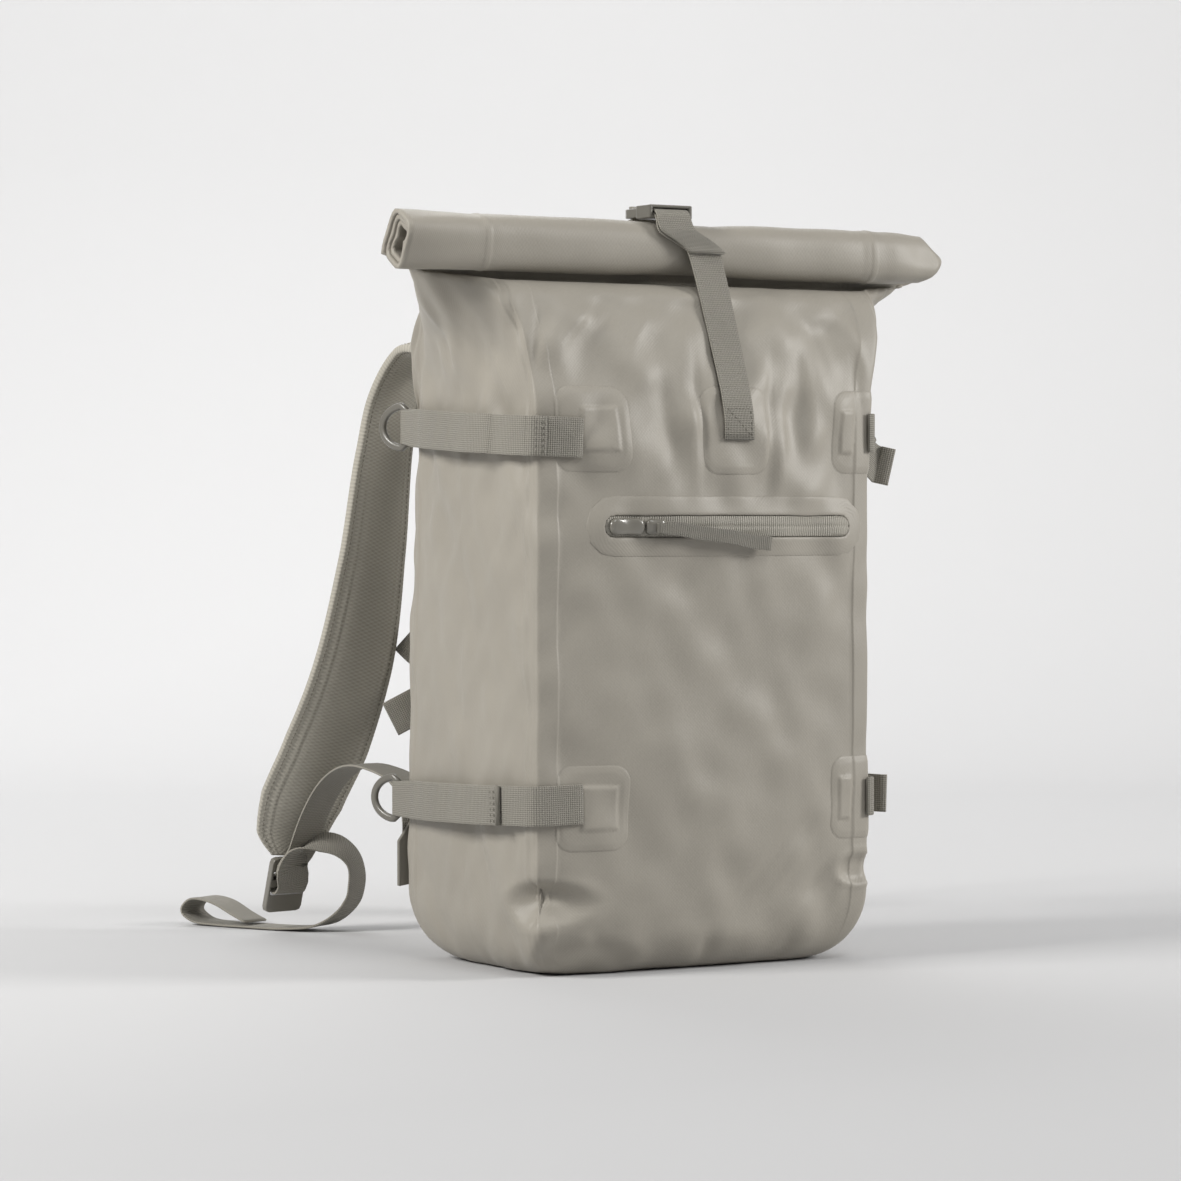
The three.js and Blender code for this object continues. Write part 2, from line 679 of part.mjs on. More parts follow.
function buildSideStrap({ name, side, height, start, end, flare, droop, slant }) {
  const row = rowAt(height);
  const middle = side > 0 ? rightPatchMiddle : -leftPatchMiddle;
  const size = [sidePatchWidth, sidePatchTall, patchRound];
  const patch = weldedPatch(middle, height, ...size, clearance, patchThick);
  addPiece("side_patch_" + name, patch, colors.fabric, 0.6);

  const flareAngle = radians(ringFlare);
  const out = vector(side * Math.cos(flareAngle), -Math.sin(flareAngle), 0);
  const away = vector(side * Math.sin(flareAngle), Math.cos(flareAngle), 0);
  const rise = (around) => (slant / 2) * (around - 2);
  const bar = skin(row, side * barAround, barLift).setZ(height + rise(barAround));
  const stops = [];
  const lay = (around, lift, drop = 0) => {
    const p = skin(row, side * around, lift).setZ(height + rise(around) - drop);
    stops.push({ p, across: straight });
  };
  const inner = innerLayer.filter((stop) => stop.around >= start);
  for (const stop of inner) lay(stop.around, onPatch + sideBow * stop.lift);
  for (const angle of [-90, -45, 0, 45, 90]) {
    const a = radians(angle);
    const p = bar.clone().addScaledVector(away, turnRadius * Math.cos(a));
    p.addScaledVector(out, turnRadius * Math.sin(a));
    stops.push({ p, across: straight, width: wrapWidth });
  }
  const outer = innerLayer.filter((stop) => stop.around > end + 0.01).reverse();
  const outerLift = (stop) => onPatch + sideBow * stop.lift + layerGap + (stop.around - end) * 0.9;
  for (const stop of outer) lay(stop.around, outerLift(stop));
  const endLift = onPatch + sideBow * lookup(innerLayer, "around", "lift", end) + layerGap;
  lay(end, endLift);
  if (flare > 0) {
    for (const share of [0.35, 0.7, 1]) lay(end - 0.26 * share, endLift + flare * share, droop * Math.sqrt(share));
  } else {
    stops[stops.length - 1].thick = 2 * webThick;
    lay(end - 0.05, endLift + webHalf);
  }
  stops[stops.length - 1].thick = 2 * webThick;
  addPiece("side_strap_" + name, bandSolid(stops, webWidth), colors.webbing, 0.8);
  addPiece("d_ring_" + name, ringGeometry(bar, away, straight), colors.plastic, 0.4);
}

// The pocket: a welded patch with a long window, the zip's tape in it, and the slider parked at the left.
function buildZip() {
  const band = (x, z, lift) => spot(0, zipX + x, zipHeight + z, lift);
  const window = roundedOutline(zipLength, zipTall, zipTall / 2 - 0.01, 7, 0);
  const border = roundedOutline(
    zipLength + 2 * zipBorder,
    zipTall + 2 * zipBorder,
    zipTall / 2 + zipBorder - 0.01,
    7,
    0,
  );
  const lifted = (outline, lift) => outline.map(([x, z]) => band(x, z, lift));
  const top = clearance + patchThick;
  const middle = window.map(([x, z], k) => [(x + border[k][0]) / 2, (z + border[k][1]) / 2]);
  const rings = [
    lifted(window, clearance),
    lifted(middle, clearance),
    lifted(border, clearance),
    lifted(border, top),
    lifted(middle, top),
    lifted(window, top),
  ];
  addPiece("zip_patch", ringSolid(rings, true), colors.fabric, 0.6);

  const tapeHalf = zipLength / 2 - 2 * clearance;
  const tapeTall = zipTall - 3 * clearance;
  const tapeStops = [-1, -0.965, -0.93, -0.8, -0.6, -0.4, -0.2, 0, 0.2, 0.4, 0.6, 0.8, 0.93, 0.965, 1].map((share) => {
    const fromEnd = (1 - Math.abs(share)) * tapeHalf;
    const round = Math.min(fromEnd / (tapeTall / 2), 1) - 1;
    return {
      p: band(tapeHalf * share, 0, clearance + zipTapeThick / 2),
      across: straight,
      thick: zipTapeThick,
      width: Math.max(tapeTall * Math.sqrt(1 - round * round), 2),
    };
  });
  addPiece("zip_tape", bandSolid(tapeStops, tapeTall), colors.webbing, 0.7);

  const seat = 2 * clearance + zipTapeThick;
  const garageX = zipX - zipLength / 2 + garageLength / 2 + 3;
  const garageOutline = roundedOutline(garageLength, zipTall * 0.8, zipTall * 0.38, 1, 0);
  const garage = patchSolid(0, garageX, zipHeight, garageOutline, [
    { scale: 0.6, lift: seat },
    { scale: 1, lift: seat },
    { scale: 1, lift: seat + 1.6 },
    { scale: 0.7, lift: seat + 3.2 },
  ]);
  addPiece("zip_garage", garage, colors.plastic, 0.3);

  const sliderX = garageX + garageLength / 2 + clearance + sliderLength / 2 + 0.5;
  const sliderOutline = roundedOutline(sliderLength, zipTall * 0.7, 2.5, 0, 0);
  const slider = patchSolid(0, sliderX, zipHeight, sliderOutline, [
    { scale: 0.6, lift: seat },
    { scale: 1, lift: seat },
    { scale: 1, lift: seat + 2.2 },
    { scale: 0.7, lift: seat + 3.6 },
  ]);
  addPiece("zip_slider", slider, colors.plastic, 0.3);

  const pullLift = seat + 3.6 + clearance + pullThick / 2;
  const pullStops = [0, 0.25, 0.5, 0.75, 1].map((share) => {
    const x = sliderX + pullLength * share;
    const z = zipHeight - 11 * share;
    const p = spot(0, x, z, pullLift + 1.5 * Math.sin(Math.PI * share));
    return { p, across: straight, thick: pullThick };
  });
  addPiece("zip_pull", bandSolid(pullStops, pullWidth), colors.webbing, 0.6);
}

// A flat frame with two slots across it. u runs across, v along, w is its thickness.
function frameGeometry(width, length, thick, slots) {
  const shape = new THREE.Shape();
  const r = 4;
  const w = width / 2;
  const l = length / 2;
  shape.moveTo(-w + r, -l);
  shape.lineTo(w - r, -l);
  shape.quadraticCurveTo(w, -l, w, -l + r);
  shape.lineTo(w, l - r);
  shape.quadraticCurveTo(w, l, w - r, l);
  shape.lineTo(-w + r, l);
  shape.quadraticCurveTo(-w, l, -w, l - r);
  shape.lineTo(-w, -l + r);
  shape.quadraticCurveTo(-w, -l, -w + r, -l);
  const slotHalf = webWidth / 2 + 0.8;
  for (const middle of slots) {
    const hole = new THREE.Path();
    hole.moveTo(-slotHalf, middle - slotTall / 2);
    hole.lineTo(-slotHalf, middle + slotTall / 2);
    hole.lineTo(slotHalf, middle + slotTall / 2);
    hole.lineTo(slotHalf, middle - slotTall / 2);
    hole.closePath();
    shape.holes.push(hole);
  }
  const geometry = new THREE.ExtrudeGeometry(shape, {
    depth: thick,
    bevelEnabled: false,
    curveSegments: 2,
  });
  geometry.translate(0, 0, -thick / 2);
  return geometry;
}

// A flat sleeve that webbing goes through along its length.
function sleeveGeometry(width, thick, length) {
  const box = (w, t, path) => {
    path.moveTo(-w, -t);
    path.lineTo(w, -t);
    path.lineTo(w, t);
    path.lineTo(-w, t);
    path.closePath();
    return path;
  };
  const shape = box(width / 2, thick / 2, new THREE.Shape());
  const mouthHalf = foldRadius + webHalf + clearance;
  shape.holes.push(box(webWidth / 2 + 0.8, mouthHalf, new THREE.Path()));
  const geometry = new THREE.ExtrudeGeometry(shape, { depth: length, bevelEnabled: false });
  geometry.translate(0, 0, -length / 2);
  return geometry;
}

// Puts a geometry whose x, y and z are to run along three directions at a place.
function placed(geometry, along, up, out, at) {
  const matrix = new THREE.Matrix4().makeBasis(along, up, out).setPosition(at);
  return geometry.applyMatrix4(matrix);
}

// The closing strap: sewn to the patch, up over the front of the roll, round the buckle's front bar and
// back down to a folded end. The rear strap holds the buckle's other half.
const buckleX = -8;
const buckleForward = 3; // from the roll's middle to the middle of the buckle's front half
const barLength = (buckleLength - slotTall) / 2;
const foldRadius = 1.25; // the front strap turns back inside the buckle

// The front strap's two layers over the roll. Columns: angle round the roll, x, lift over the roll, and
// width along x.
const overFront = [
  { angle: 186, x: 14, lift: 1.2, width: 24 },
  { angle: 176, x: 11, lift: 0, width: 27 },
  { angle: 165, x: 5, lift: 0, width: 28 },
  { angle: 153, x: -2, lift: 0, width: 28 },
  { angle: 141, x: -7.5, lift: 0, width: 26 },
];
const overTail = [
  { angle: 141, x: -7.5, lift: 2.5, width: 26 },
  { angle: 153, x: -2, lift: 2.5, width: 28 },
  { angle: 165, x: 5, lift: 2.8, width: 28 },
  { angle: 176, x: 10.5, lift: 3.2, width: 28 },
  { angle: 186, x: 13.5, lift: 4.4, width: 27 },
];

// The rear strap between the buckle and the back panel: up is a share of neckHeight, lift is from the skin.
const rearRise = [
  { up: 0.96, lift: 9 },
  { up: 0.915, lift: 7 },
  { up: 0.865, lift: 7 },
];

function buildClosure() {
  const onRoll = clearance + webHalf;
  const buckleY = rollLean - buckleForward;
  const buckleZ = neckHeight + rollLift + rollTall / 2 + clearance + buckleThick / 2;
  const forward = vector(1, 0, 0);
  const back = vector(0, 1, 0);
  const sleeve = sleeveGeometry(buckleWidth, buckleThick, buckleLength);
  placed(sleeve, forward, straight, vector(0, -1, 0), vector(buckleX, buckleY, buckleZ));
  addPiece("buckle_frame", sleeve, colors.plastic, 0.4);

  const hookY = buckleY + buckleLength + clearance;
  const hook = frameGeometry(buckleWidth - 3, buckleLength, hookThick, [0]);
  placed(hook, forward, back, straight, vector(buckleX, hookY, buckleZ));
  addPiece("buckle_hook", hook, colors.plastic, 0.4);

  const stops = [];
  const add = (p, wide = webWidth) => stops.push({ p, across: forward, width: wide, thick: webThick, sheared: true });
  for (const rise of [0, 12, 24, 34]) add(spot(0, closureX, sewnLow + rise, onPatch), closureWidth);
  for (const { angle, x, lift, width } of overFront) add(overRoll(angle, x, onRoll + lift), width);
  const mouth = -buckleLength / 2;
  const inside = [
    [mouth - 1.2, -foldRadius],
    [2, -foldRadius],
    [2 + foldRadius, 0],
    [2, foldRadius],
    [mouth - 2, foldRadius],
  ];
  for (const [v, w] of inside) add(vector(buckleX, buckleY + v, buckleZ + w));
  for (const { angle, x, lift, width } of overTail) add(overRoll(angle, x, onRoll + lift), width);
  stops[stops.length - 1].thick = 1.8 * webThick;
  addPiece("closure_strap", bandSolid(stops, webWidth), colors.webbing, 0.8);

  const rear = [];
  const follow = (p) => rear.push({ p, across: forward });
  const slotSide = -slotTall / 2 + 2.4 * clearance + webHalf;
  const hookLayer = hookThick / 2 + clearance + webHalf;
  const hookWrap = [
    [barLength, hookLayer],
    [-slotSide + 1.2, hookLayer],
    [-slotSide, hookLayer - 1.4],
    [-slotSide, -hookLayer + 1.4],
    [-slotSide + 1.2, -hookLayer],
    [buckleLength / 2 + 3, -hookLayer - 1],
  ];
  for (const [v, w] of hookWrap) follow(vector(buckleX, hookY + v, buckleZ + w));
  const panelFace = clearance + panelThick + clearance + webHalf;
  const panelTop = panelMiddle + panelTall / 2;
  const high = spot(4, -buckleX, panelTop + 14, clearance + webHalf + 6);
  for (const { up, lift } of rearRise) follow(spot(4, -buckleX, up * neckHeight, lift));
  follow(high);
  follow(spot(4, -buckleX, panelTop - 2, panelFace + 1));
  follow(spot(4, -buckleX, panelTop - 14, panelFace));
  follow(spot(4, -buckleX, panelTop - 34, panelFace));
  addPiece("closure_strap_rear", bandSolid(rear, webWidth), colors.webbing, 0.8);
}

// The left shoulder strap's middle line; the right one mirrors it. Columns: x, y, z, width and thickness
// in millimetres, turn is how far its inner edge lies back, in degrees.
const strapStops = [
  { x: -52, y: 105, z: 300, width: 52, thick: 8, turn: 0 },
  { x: -52, y: 106, z: 345, width: 52, thick: 10, turn: 0 },
  { x: -55, y: 115, z: 380, width: 50, thick: 12, turn: 6 },
  { x: -64, y: 136, z: 400, width: 54, thick: 13, turn: 14 },
  { x: -70, y: 165, z: 402, width: 54, thick: 13, turn: 24 },
  { x: -77, y: 188, z: 376, width: 55, thick: 13, turn: 25 },
  { x: -81, y: 198, z: 336, width: 56, thick: 13, turn: 22 },
  { x: -88, y: 203, z: 262, width: 58, thick: 13, turn: 14 },
  { x: -98, y: 211, z: 190, width: 61, thick: 13, turn: 2 },
  { x: -108, y: 233, z: 132, width: 63, thick: 13, turn: -8 },
  { x: -118, y: 252, z: 92, width: 61, thick: 13, turn: -10 },
  { x: -121, y: 262, z: 68, width: 52, thick: 10, turn: -6 },
  { x: -121.5, y: 263.8, z: 53.6, width: 28, thick: 6, turn: 0 },
];

// The sternum strap from the left strap's inner edge to the middle, and its tail, which ends at the left.
const sternumStops = [
  { x: -60, y: 206, z: 207 },
  { x: -50, y: 196, z: 194 },
  { x: -23.1, y: 189, z: 179 },
];
const sternumTail = [
  { x: -21.5, y: 187, z: 175 },
  { x: -46, y: 190.6, z: 166 },
  { x: -76, y: 199, z: 150 },
];
const sternumBuckle = { width: 42, tall: 30, thick: 6, y: 189, z: 178 };

// The tab at the bag's lower back corner. Columns: x and z of its corners.
const wingOutline = [
  { x: -101, z: 116 },
  { x: -130, z: 76 },
  { x: -130, z: 46 },
  { x: -101, z: 50 },
];
const wingThick = 3;

// The lower webbing from the bag's corner to the adjuster, for the left side. The third group is the tail,
// which loops clear of the floor, comes down on it and runs back to its sewn end loop.
const archStops = [
  { x: -113, y: 91.5, z: 74, ax: 1, ay: 0, az: 0 },
  { x: -112, y: 91.9, z: 88, ax: 1, ay: 0, az: 0 },
  { x: -108, y: 112, z: 110, ax: 1, ay: 0, az: 0 },
  { x: -107, y: 150, z: 119, ax: 1, ay: 0.1, az: 0 },
  { x: -108, y: 188, z: 120, ax: 1, ay: 0.2, az: 0 },
  { x: -110, y: 218, z: 108, ax: 1, ay: 0.2, az: 0 },
  { x: -113, y: 241, z: 84, ax: 1, ay: 0.2, az: 0 },
  { x: -117, y: 254, z: 56, ax: 1, ay: 0.2, az: 0 },
];
const tailStops = [
  { x: -126, y: 252, z: 45, ax: 1, ay: 0.2, az: 0 },
  { x: -122, y: 248, z: 57, ax: 0.9, ay: 0.4, az: 0.2 },
  { x: -111, y: 243, z: 63, ax: 0.8, ay: 0.7, az: 0.5 },
  { x: -97, y: 238, z: 61, ax: 0.8, ay: 0.8, az: 0.5 },
  { x: -86, y: 236, z: 51, ax: 0.9, ay: 0.8, az: 0.3 },
  { x: -82, y: 238, z: 36, ax: 1, ay: 0.7, az: 0 },
  { x: -83, y: 243, z: 21, ax: 0.9, ay: 0.8, az: -0.3 },
  { x: -92, y: 250, z: 9, ax: 0.7, ay: 0.9, az: -0.3 },
  { x: -104, y: 260, z: 3, ax: 0.6, ay: 0.9, az: -0.06 },
  { x: -118, y: 280, z: 1.2, ax: 0.8, ay: 0.6, az: 0 },
  { x: -130, y: 302, z: 1.2, ax: 0.9, ay: 0.5, az: 0 },
  { x: -141, y: 325, z: 1.2, ax: 0.9, ay: 0.4, az: 0 },
  { x: -151, y: 343, z: 3, ax: 0.9, ay: 0.4, az: 0 },
  { x: -156, y: 350, z: 10, ax: 0.9, ay: 0.4, az: 0 },
  { x: -152, y: 345, z: 18, ax: 0.9, ay: 0.4, az: 0 },
  { x: -143, y: 330, z: 17, ax: 0.9, ay: 0.4, az: 0 },
  { x: -135, y: 312, z: 9, ax: 0.9, ay: 0.5, az: 0 },
  { x: -130, y: 301, z: 4.4, ax: 0.9, ay: 0.5, az: 0 },
];

function buildCarrier(name, side) {
  const mirror = (x, y, z) => vector(-side * x, y, z);
  const stops = strapStops.map(({ x, y, z, width, thick, turn }) => ({
    p: mirror(x, y, z),
    across: mirror(Math.cos(radians(turn)), Math.sin(radians(turn)), 0),
    width,
    thick,
  }));
  const rings = smoothStops(stops, 20).map((stop, k, all) => {
    const before = all[Math.max(k - 1, 0)].p;
    const after = all[Math.min(k + 1, all.length - 1)].p;
    const run = after.clone().sub(before).normalize();
    const normal = run.clone().cross(stop.across).normalize();
    const across = normal.clone().cross(run).normalize();
    const w = stop.width / 2;
    const t = stop.thick / 2;
    return [
      [-w, 0],
      [-w * 0.86, t * 0.8],
      [0, t],
      [w * 0.86, t * 0.8],
      [w, 0],
      [w * 0.86, -t * 0.8],
      [0, -t],
      [-w * 0.86, -t * 0.8],
    ].map(([u, v]) => stop.p.clone().addScaledVector(across, u).addScaledVector(normal, v));
  });
  addPiece("shoulder_strap_" + name, ringSolid(rings), colors.foam, 0.85);

  const down = mirror(-0.08, 0.26, -0.96).normalize();
  const across = vector(1, -0.17 * side, 0).normalize();
  const out = across.clone().cross(down).normalize();
  const squareDown = out.clone().cross(across).normalize();
  const middle = mirror(-122.5, 268.5, 33);
  const slots = [-7, 4];
  const adjuster = frameGeometry(adjusterWidth, adjusterLength, adjusterThick, slots);
  placed(adjuster, across, squareDown, out, middle);
  addPiece("adjuster_" + name, adjuster, colors.plastic, 0.3);

  const local = (v, w) => middle.clone().addScaledVector(squareDown, v).addScaledVector(out, w);
  const toBag = out.y < 0 ? 1 : -1;
  const face = adjusterThick / 2 + clearance + webHalf + 0.3;
  const threaded = [
    [-16, face],
    [-9.4, face - 0.4],
    [-7.4, 0],
    [-5.2, -face],
    [2.2, -face],
    [4.2, 0],
    [5.4, face],
    [3.4, face + 3],
    [-4, face + 5],
  ].map(([v, w]) => ({ p: local(v, toBag * w), across: across.clone().multiplyScalar(side) }));
  const table = (rows) =>
    rows.map(({ x, y, z, ax, ay, az }) => ({
      p: mirror(x, y, z),
      across: mirror(ax, ay, az).normalize().multiplyScalar(-1),
    }));
  const arch = smoothStops(table(archStops), 9);
  const tail = smoothStops(table(tailStops), 30);
  addPiece("lower_webbing_" + name, bandSolid([...arch, ...threaded, ...tail], webWidth), colors.webbing, 0.8);
}

// The sternum strap in two halves with its buckle between them, and the tail of the left half.
function buildSternum() {
  const { width, tall, thick, y, z } = sternumBuckle;
  for (const [name, side] of [
    ["left", 1],
    ["right", -1],
  ]) {
    const stops = sternumStops.map((stop) => ({ p: vector(side * stop.x, stop.y, stop.z), across: straight }));
    addPiece("sternum_strap_" + name, bandSolid(stops, webWidth), colors.webbing, 0.8);
  }
  const tail = sternumTail.map((stop) => ({ p: vector(stop.x, stop.y, stop.z), across: straight }));
  tail[tail.length - 1].thick = 2 * webThick;
  addPiece("sternum_tail", bandSolid(tail, webWidth), colors.webbing, 0.8);
  const buckle = new THREE.Shape();
  const round = 5;
  buckle.moveTo(-width / 2 + round, -tall / 2);
  buckle.lineTo(width / 2 - round, -tall / 2);
  buckle.lineTo(width / 2, 0);
  buckle.lineTo(width / 2 - round, tall / 2);
  buckle.lineTo(-width / 2 + round, tall / 2);
  buckle.lineTo(-width / 2, 0);
  const geometry = new THREE.ExtrudeGeometry(buckle, { depth: thick, bevelEnabled: false });
  geometry.translate(0, 0, -thick / 2);
  placed(geometry, vector(1, 0, 0), straight, vector(0, -1, 0), vector(0, y, z));
  addPiece("sternum_buckle", geometry, colors.plastic, 0.4);
}

// The tabs behind the lower corners, which the lower webbing is sewn to.
function buildWings() {
  for (const [name, side] of [
    ["left", 1],
    ["right", -1],
  ]) {
    const start = halfDepth + 2 * clearance;
    const face = (y) => wingOutline.map(({ x, z }) => vector(side * x, y, z));
    addPiece("corner_wing_" + name, ringSolid([face(start), face(start + wingThick)]), colors.webbing, 0.8);
  }
}

buildBody();
buildCollar();
buildBackPanel();
buildClosurePatch();
for (const strap of sideStraps) buildSideStrap(strap);
buildZip();
buildClosure();
buildCarrier("left", -1);
buildCarrier("right", 1);
buildSternum();
buildWings();

export default group;
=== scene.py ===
"""The rolltop backpack's visual model. Sizes are in millimetres until a mesh is made, and then in metres."""

import math

import bpy
import numpy as np
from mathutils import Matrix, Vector


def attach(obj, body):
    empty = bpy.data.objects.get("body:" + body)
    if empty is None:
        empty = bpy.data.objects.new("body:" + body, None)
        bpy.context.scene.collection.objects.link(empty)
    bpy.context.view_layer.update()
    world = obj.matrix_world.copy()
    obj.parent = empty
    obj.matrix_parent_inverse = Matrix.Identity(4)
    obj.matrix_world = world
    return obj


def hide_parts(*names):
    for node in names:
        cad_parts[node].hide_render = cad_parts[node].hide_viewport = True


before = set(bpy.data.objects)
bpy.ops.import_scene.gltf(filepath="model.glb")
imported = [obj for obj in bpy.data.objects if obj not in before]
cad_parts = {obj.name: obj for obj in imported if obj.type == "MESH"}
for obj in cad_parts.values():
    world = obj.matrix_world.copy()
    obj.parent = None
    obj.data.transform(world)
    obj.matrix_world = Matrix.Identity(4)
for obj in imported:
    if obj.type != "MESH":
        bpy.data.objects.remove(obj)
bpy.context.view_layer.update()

MM = 0.001
scene = bpy.context.scene

# Camera
CAMERA_AT = Vector((-1.380, -2.239, 0.291))
CAMERA_LOOK = Vector((0.515, 0.857, -0.0188))
camera_data = bpy.data.cameras.new("camera")
camera_data.sensor_width = 36
camera_data.lens = 121.9
camera = bpy.data.objects.new("camera", camera_data)
scene.collection.objects.link(camera)
camera.location = CAMERA_AT
camera.rotation_euler = CAMERA_LOOK.to_track_quat("-Z", "Y").to_euler()
scene.camera = camera

# Main sizes, as in the solids
BODY_WIDTH, BODY_DEPTH, NECK_HEIGHT = 252, 172, 456
FABRIC_WALL, NECK_WALL, NECK_GAP, CLEARANCE = 2, 1.2, 0.6, 0.35
BOTTOM_RISE, BOTTOM_INSET = 45, 24
FRONT_ROUND, BACK_ROUND, BASE_ROUND = 4, 10, 34
FRONT_BULGE, SIDE_BULGE, FOLD_DEPTH = 13, 5, 8
ROLL_DEPTH, ROLL_TALL, ROLL_LEAN, ROLL_LIFT = 33, 39, -45, 6
ROLL_PITCH, ROLL_TURNS, ROLL_HALF, ROLL_SHIFT = 3.5, 2.7, 206, 3
ROLL_STEP, ROLL_START, ROLL_RECESS, END_CUT = 36, -22, 1.6, 14
WEB_WIDTH, WEB_THICK, PATCH_THICK, PATCH_ROUND = 25, 1.6, 1.4, 11
BAR_RADIUS, BOW_RADIUS, RING_REACH, WRAP_WIDTH = 2, 2.5, 21, 22.5
RING_TALL = 2 * BAR_RADIUS + WRAP_WIDTH + 1.2
UPPER_STRAP, LOWER_STRAP = 345, 107
SIDE_PATCH_WIDTH, SIDE_PATCH_TALL = 50, 54
LEFT_PATCH, RIGHT_PATCH = 88, 118
CLOSURE_X, CLOSURE_HEIGHT, CLOSURE_WIDTH, CLOSURE_PATCH_TALL = 15, 345, 22, 56
ZIP_HEIGHT, ZIP_X, ZIP_LENGTH, ZIP_TALL, ZIP_BORDER, ZIP_TAPE = 284, 12, 188, 14, 12, 1.2
GARAGE_LENGTH, SLIDER_LENGTH = 26, 12
PULL_LENGTH, PULL_WIDTH, PULL_THICK = 84, 9, 1.4
PANEL_WIDTH, PANEL_TALL, PANEL_MIDDLE, PANEL_THICK = 196, 306, 205, 10
ADJUSTER_THICK, SLOT_TALL = 5, 6
BUCKLE_LENGTH, BUCKLE_THICK, BUCKLE_X, BUCKLE_FORWARD = 17, 8.8, -8, 3
HOOK_THICK, FOLD_RADIUS = 6, 1.25
BAR_LENGTH = (BUCKLE_LENGTH - SLOT_TALL) / 2
HALF_WIDTH, HALF_DEPTH = BODY_WIDTH / 2, BODY_DEPTH / 2
WEB_HALF = WEB_THICK / 2
FOLD_SPAN = 0.03


def table(names, *rows):
    """Rows of numbers as {column name: array}."""
    return dict(zip(names.split(), np.array(rows, float).T))


SECTIONS = table(
    "up wide depth lean out tip bulge",
    (0.099, 1, 1, 0, 0, 0, 0.5),
    (0.241, 1, 1, 0, 0, 0, 0.8),
    (0.439, 1, 1, 0, 0, 0, 0.85),
    (0.636, 1, 1, 0, 0, 0, 1),
    (0.746, 1.005, 1, 0, 0, 0, 1),
    (0.811, 1.02, 1, 0, 0, 0, 0.6),
    (0.86, 1.05, 0.965, 0, 0.05, 0, 0.3),
    (0.895, 1.075, 0.9, -0.012, 0.15, 0, 0.15),
    (0.937, 1.09, 0.74, -0.052, 0.37, 4, 0.1),
    (0.965, 1.08, 0.51, -0.117, 0.52, 8, 0.35),
    (0.979, 1.08, 0.28, -0.15, 0.6, 16, 0.2),
    (0.986, 1.08, 0.1, -0.172, 0.72, 55, 0.05),
)
RIM_ROW = 8
ROLL_ROW = len(SECTIONS["up"]) + 1

# Columns as in the solids: around, up, wide and tall are shares, turn in degrees, depth a share of FOLD_DEPTH.
FOLDS = table(
    "around up wide tall turn depth",
    (-1.02, 0.112, 0.17, 0.026, 0, -0.95),
    (-0.9, 0.035, 0.18, 0.018, 12, -0.5),
    (-1.0, 0.85, 0.22, 0.07, 0, -0.5),
    (-0.82, 0.9, 0.07, 0.045, -28, 0.4),
    (-0.62, 0.9, 0.08, 0.05, -35, -0.4),
    (-0.26, 0.78, 0.07, 0.09, 8, -0.45),
    (0.52, 0.78, 0.07, 0.09, -8, -0.5),
    (0.72, 0.89, 0.08, 0.04, 25, -0.4),
    (0.35, 0.42, 0.3, 0.1, 0, -0.35),
    (-0.3, 0.3, 0.25, 0.09, 20, 0.25),
    (0.3, 0.1, 0.28, 0.03, 30, -0.5),
    (0.75, 0.08, 0.12, 0.05, 40, -0.5),
    (-1.9, 0.2, 0.18, 0.06, 18, -0.3),
    (-2.2, 0.17, 0.16, 0.05, -22, 0.25),
    (-1.5, 0.9, 0.2, 0.05, 20, -0.4),
    (1.5, 0.9, 0.2, 0.05, -20, -0.4),
    (-2.9, 0.8, 0.45, 0.28, 0, -0.85),
    (2.9, 0.8, 0.45, 0.28, 0, -0.85),
    (4.0, 0.93, 0.5, 0.03, 0, -0.5),
)

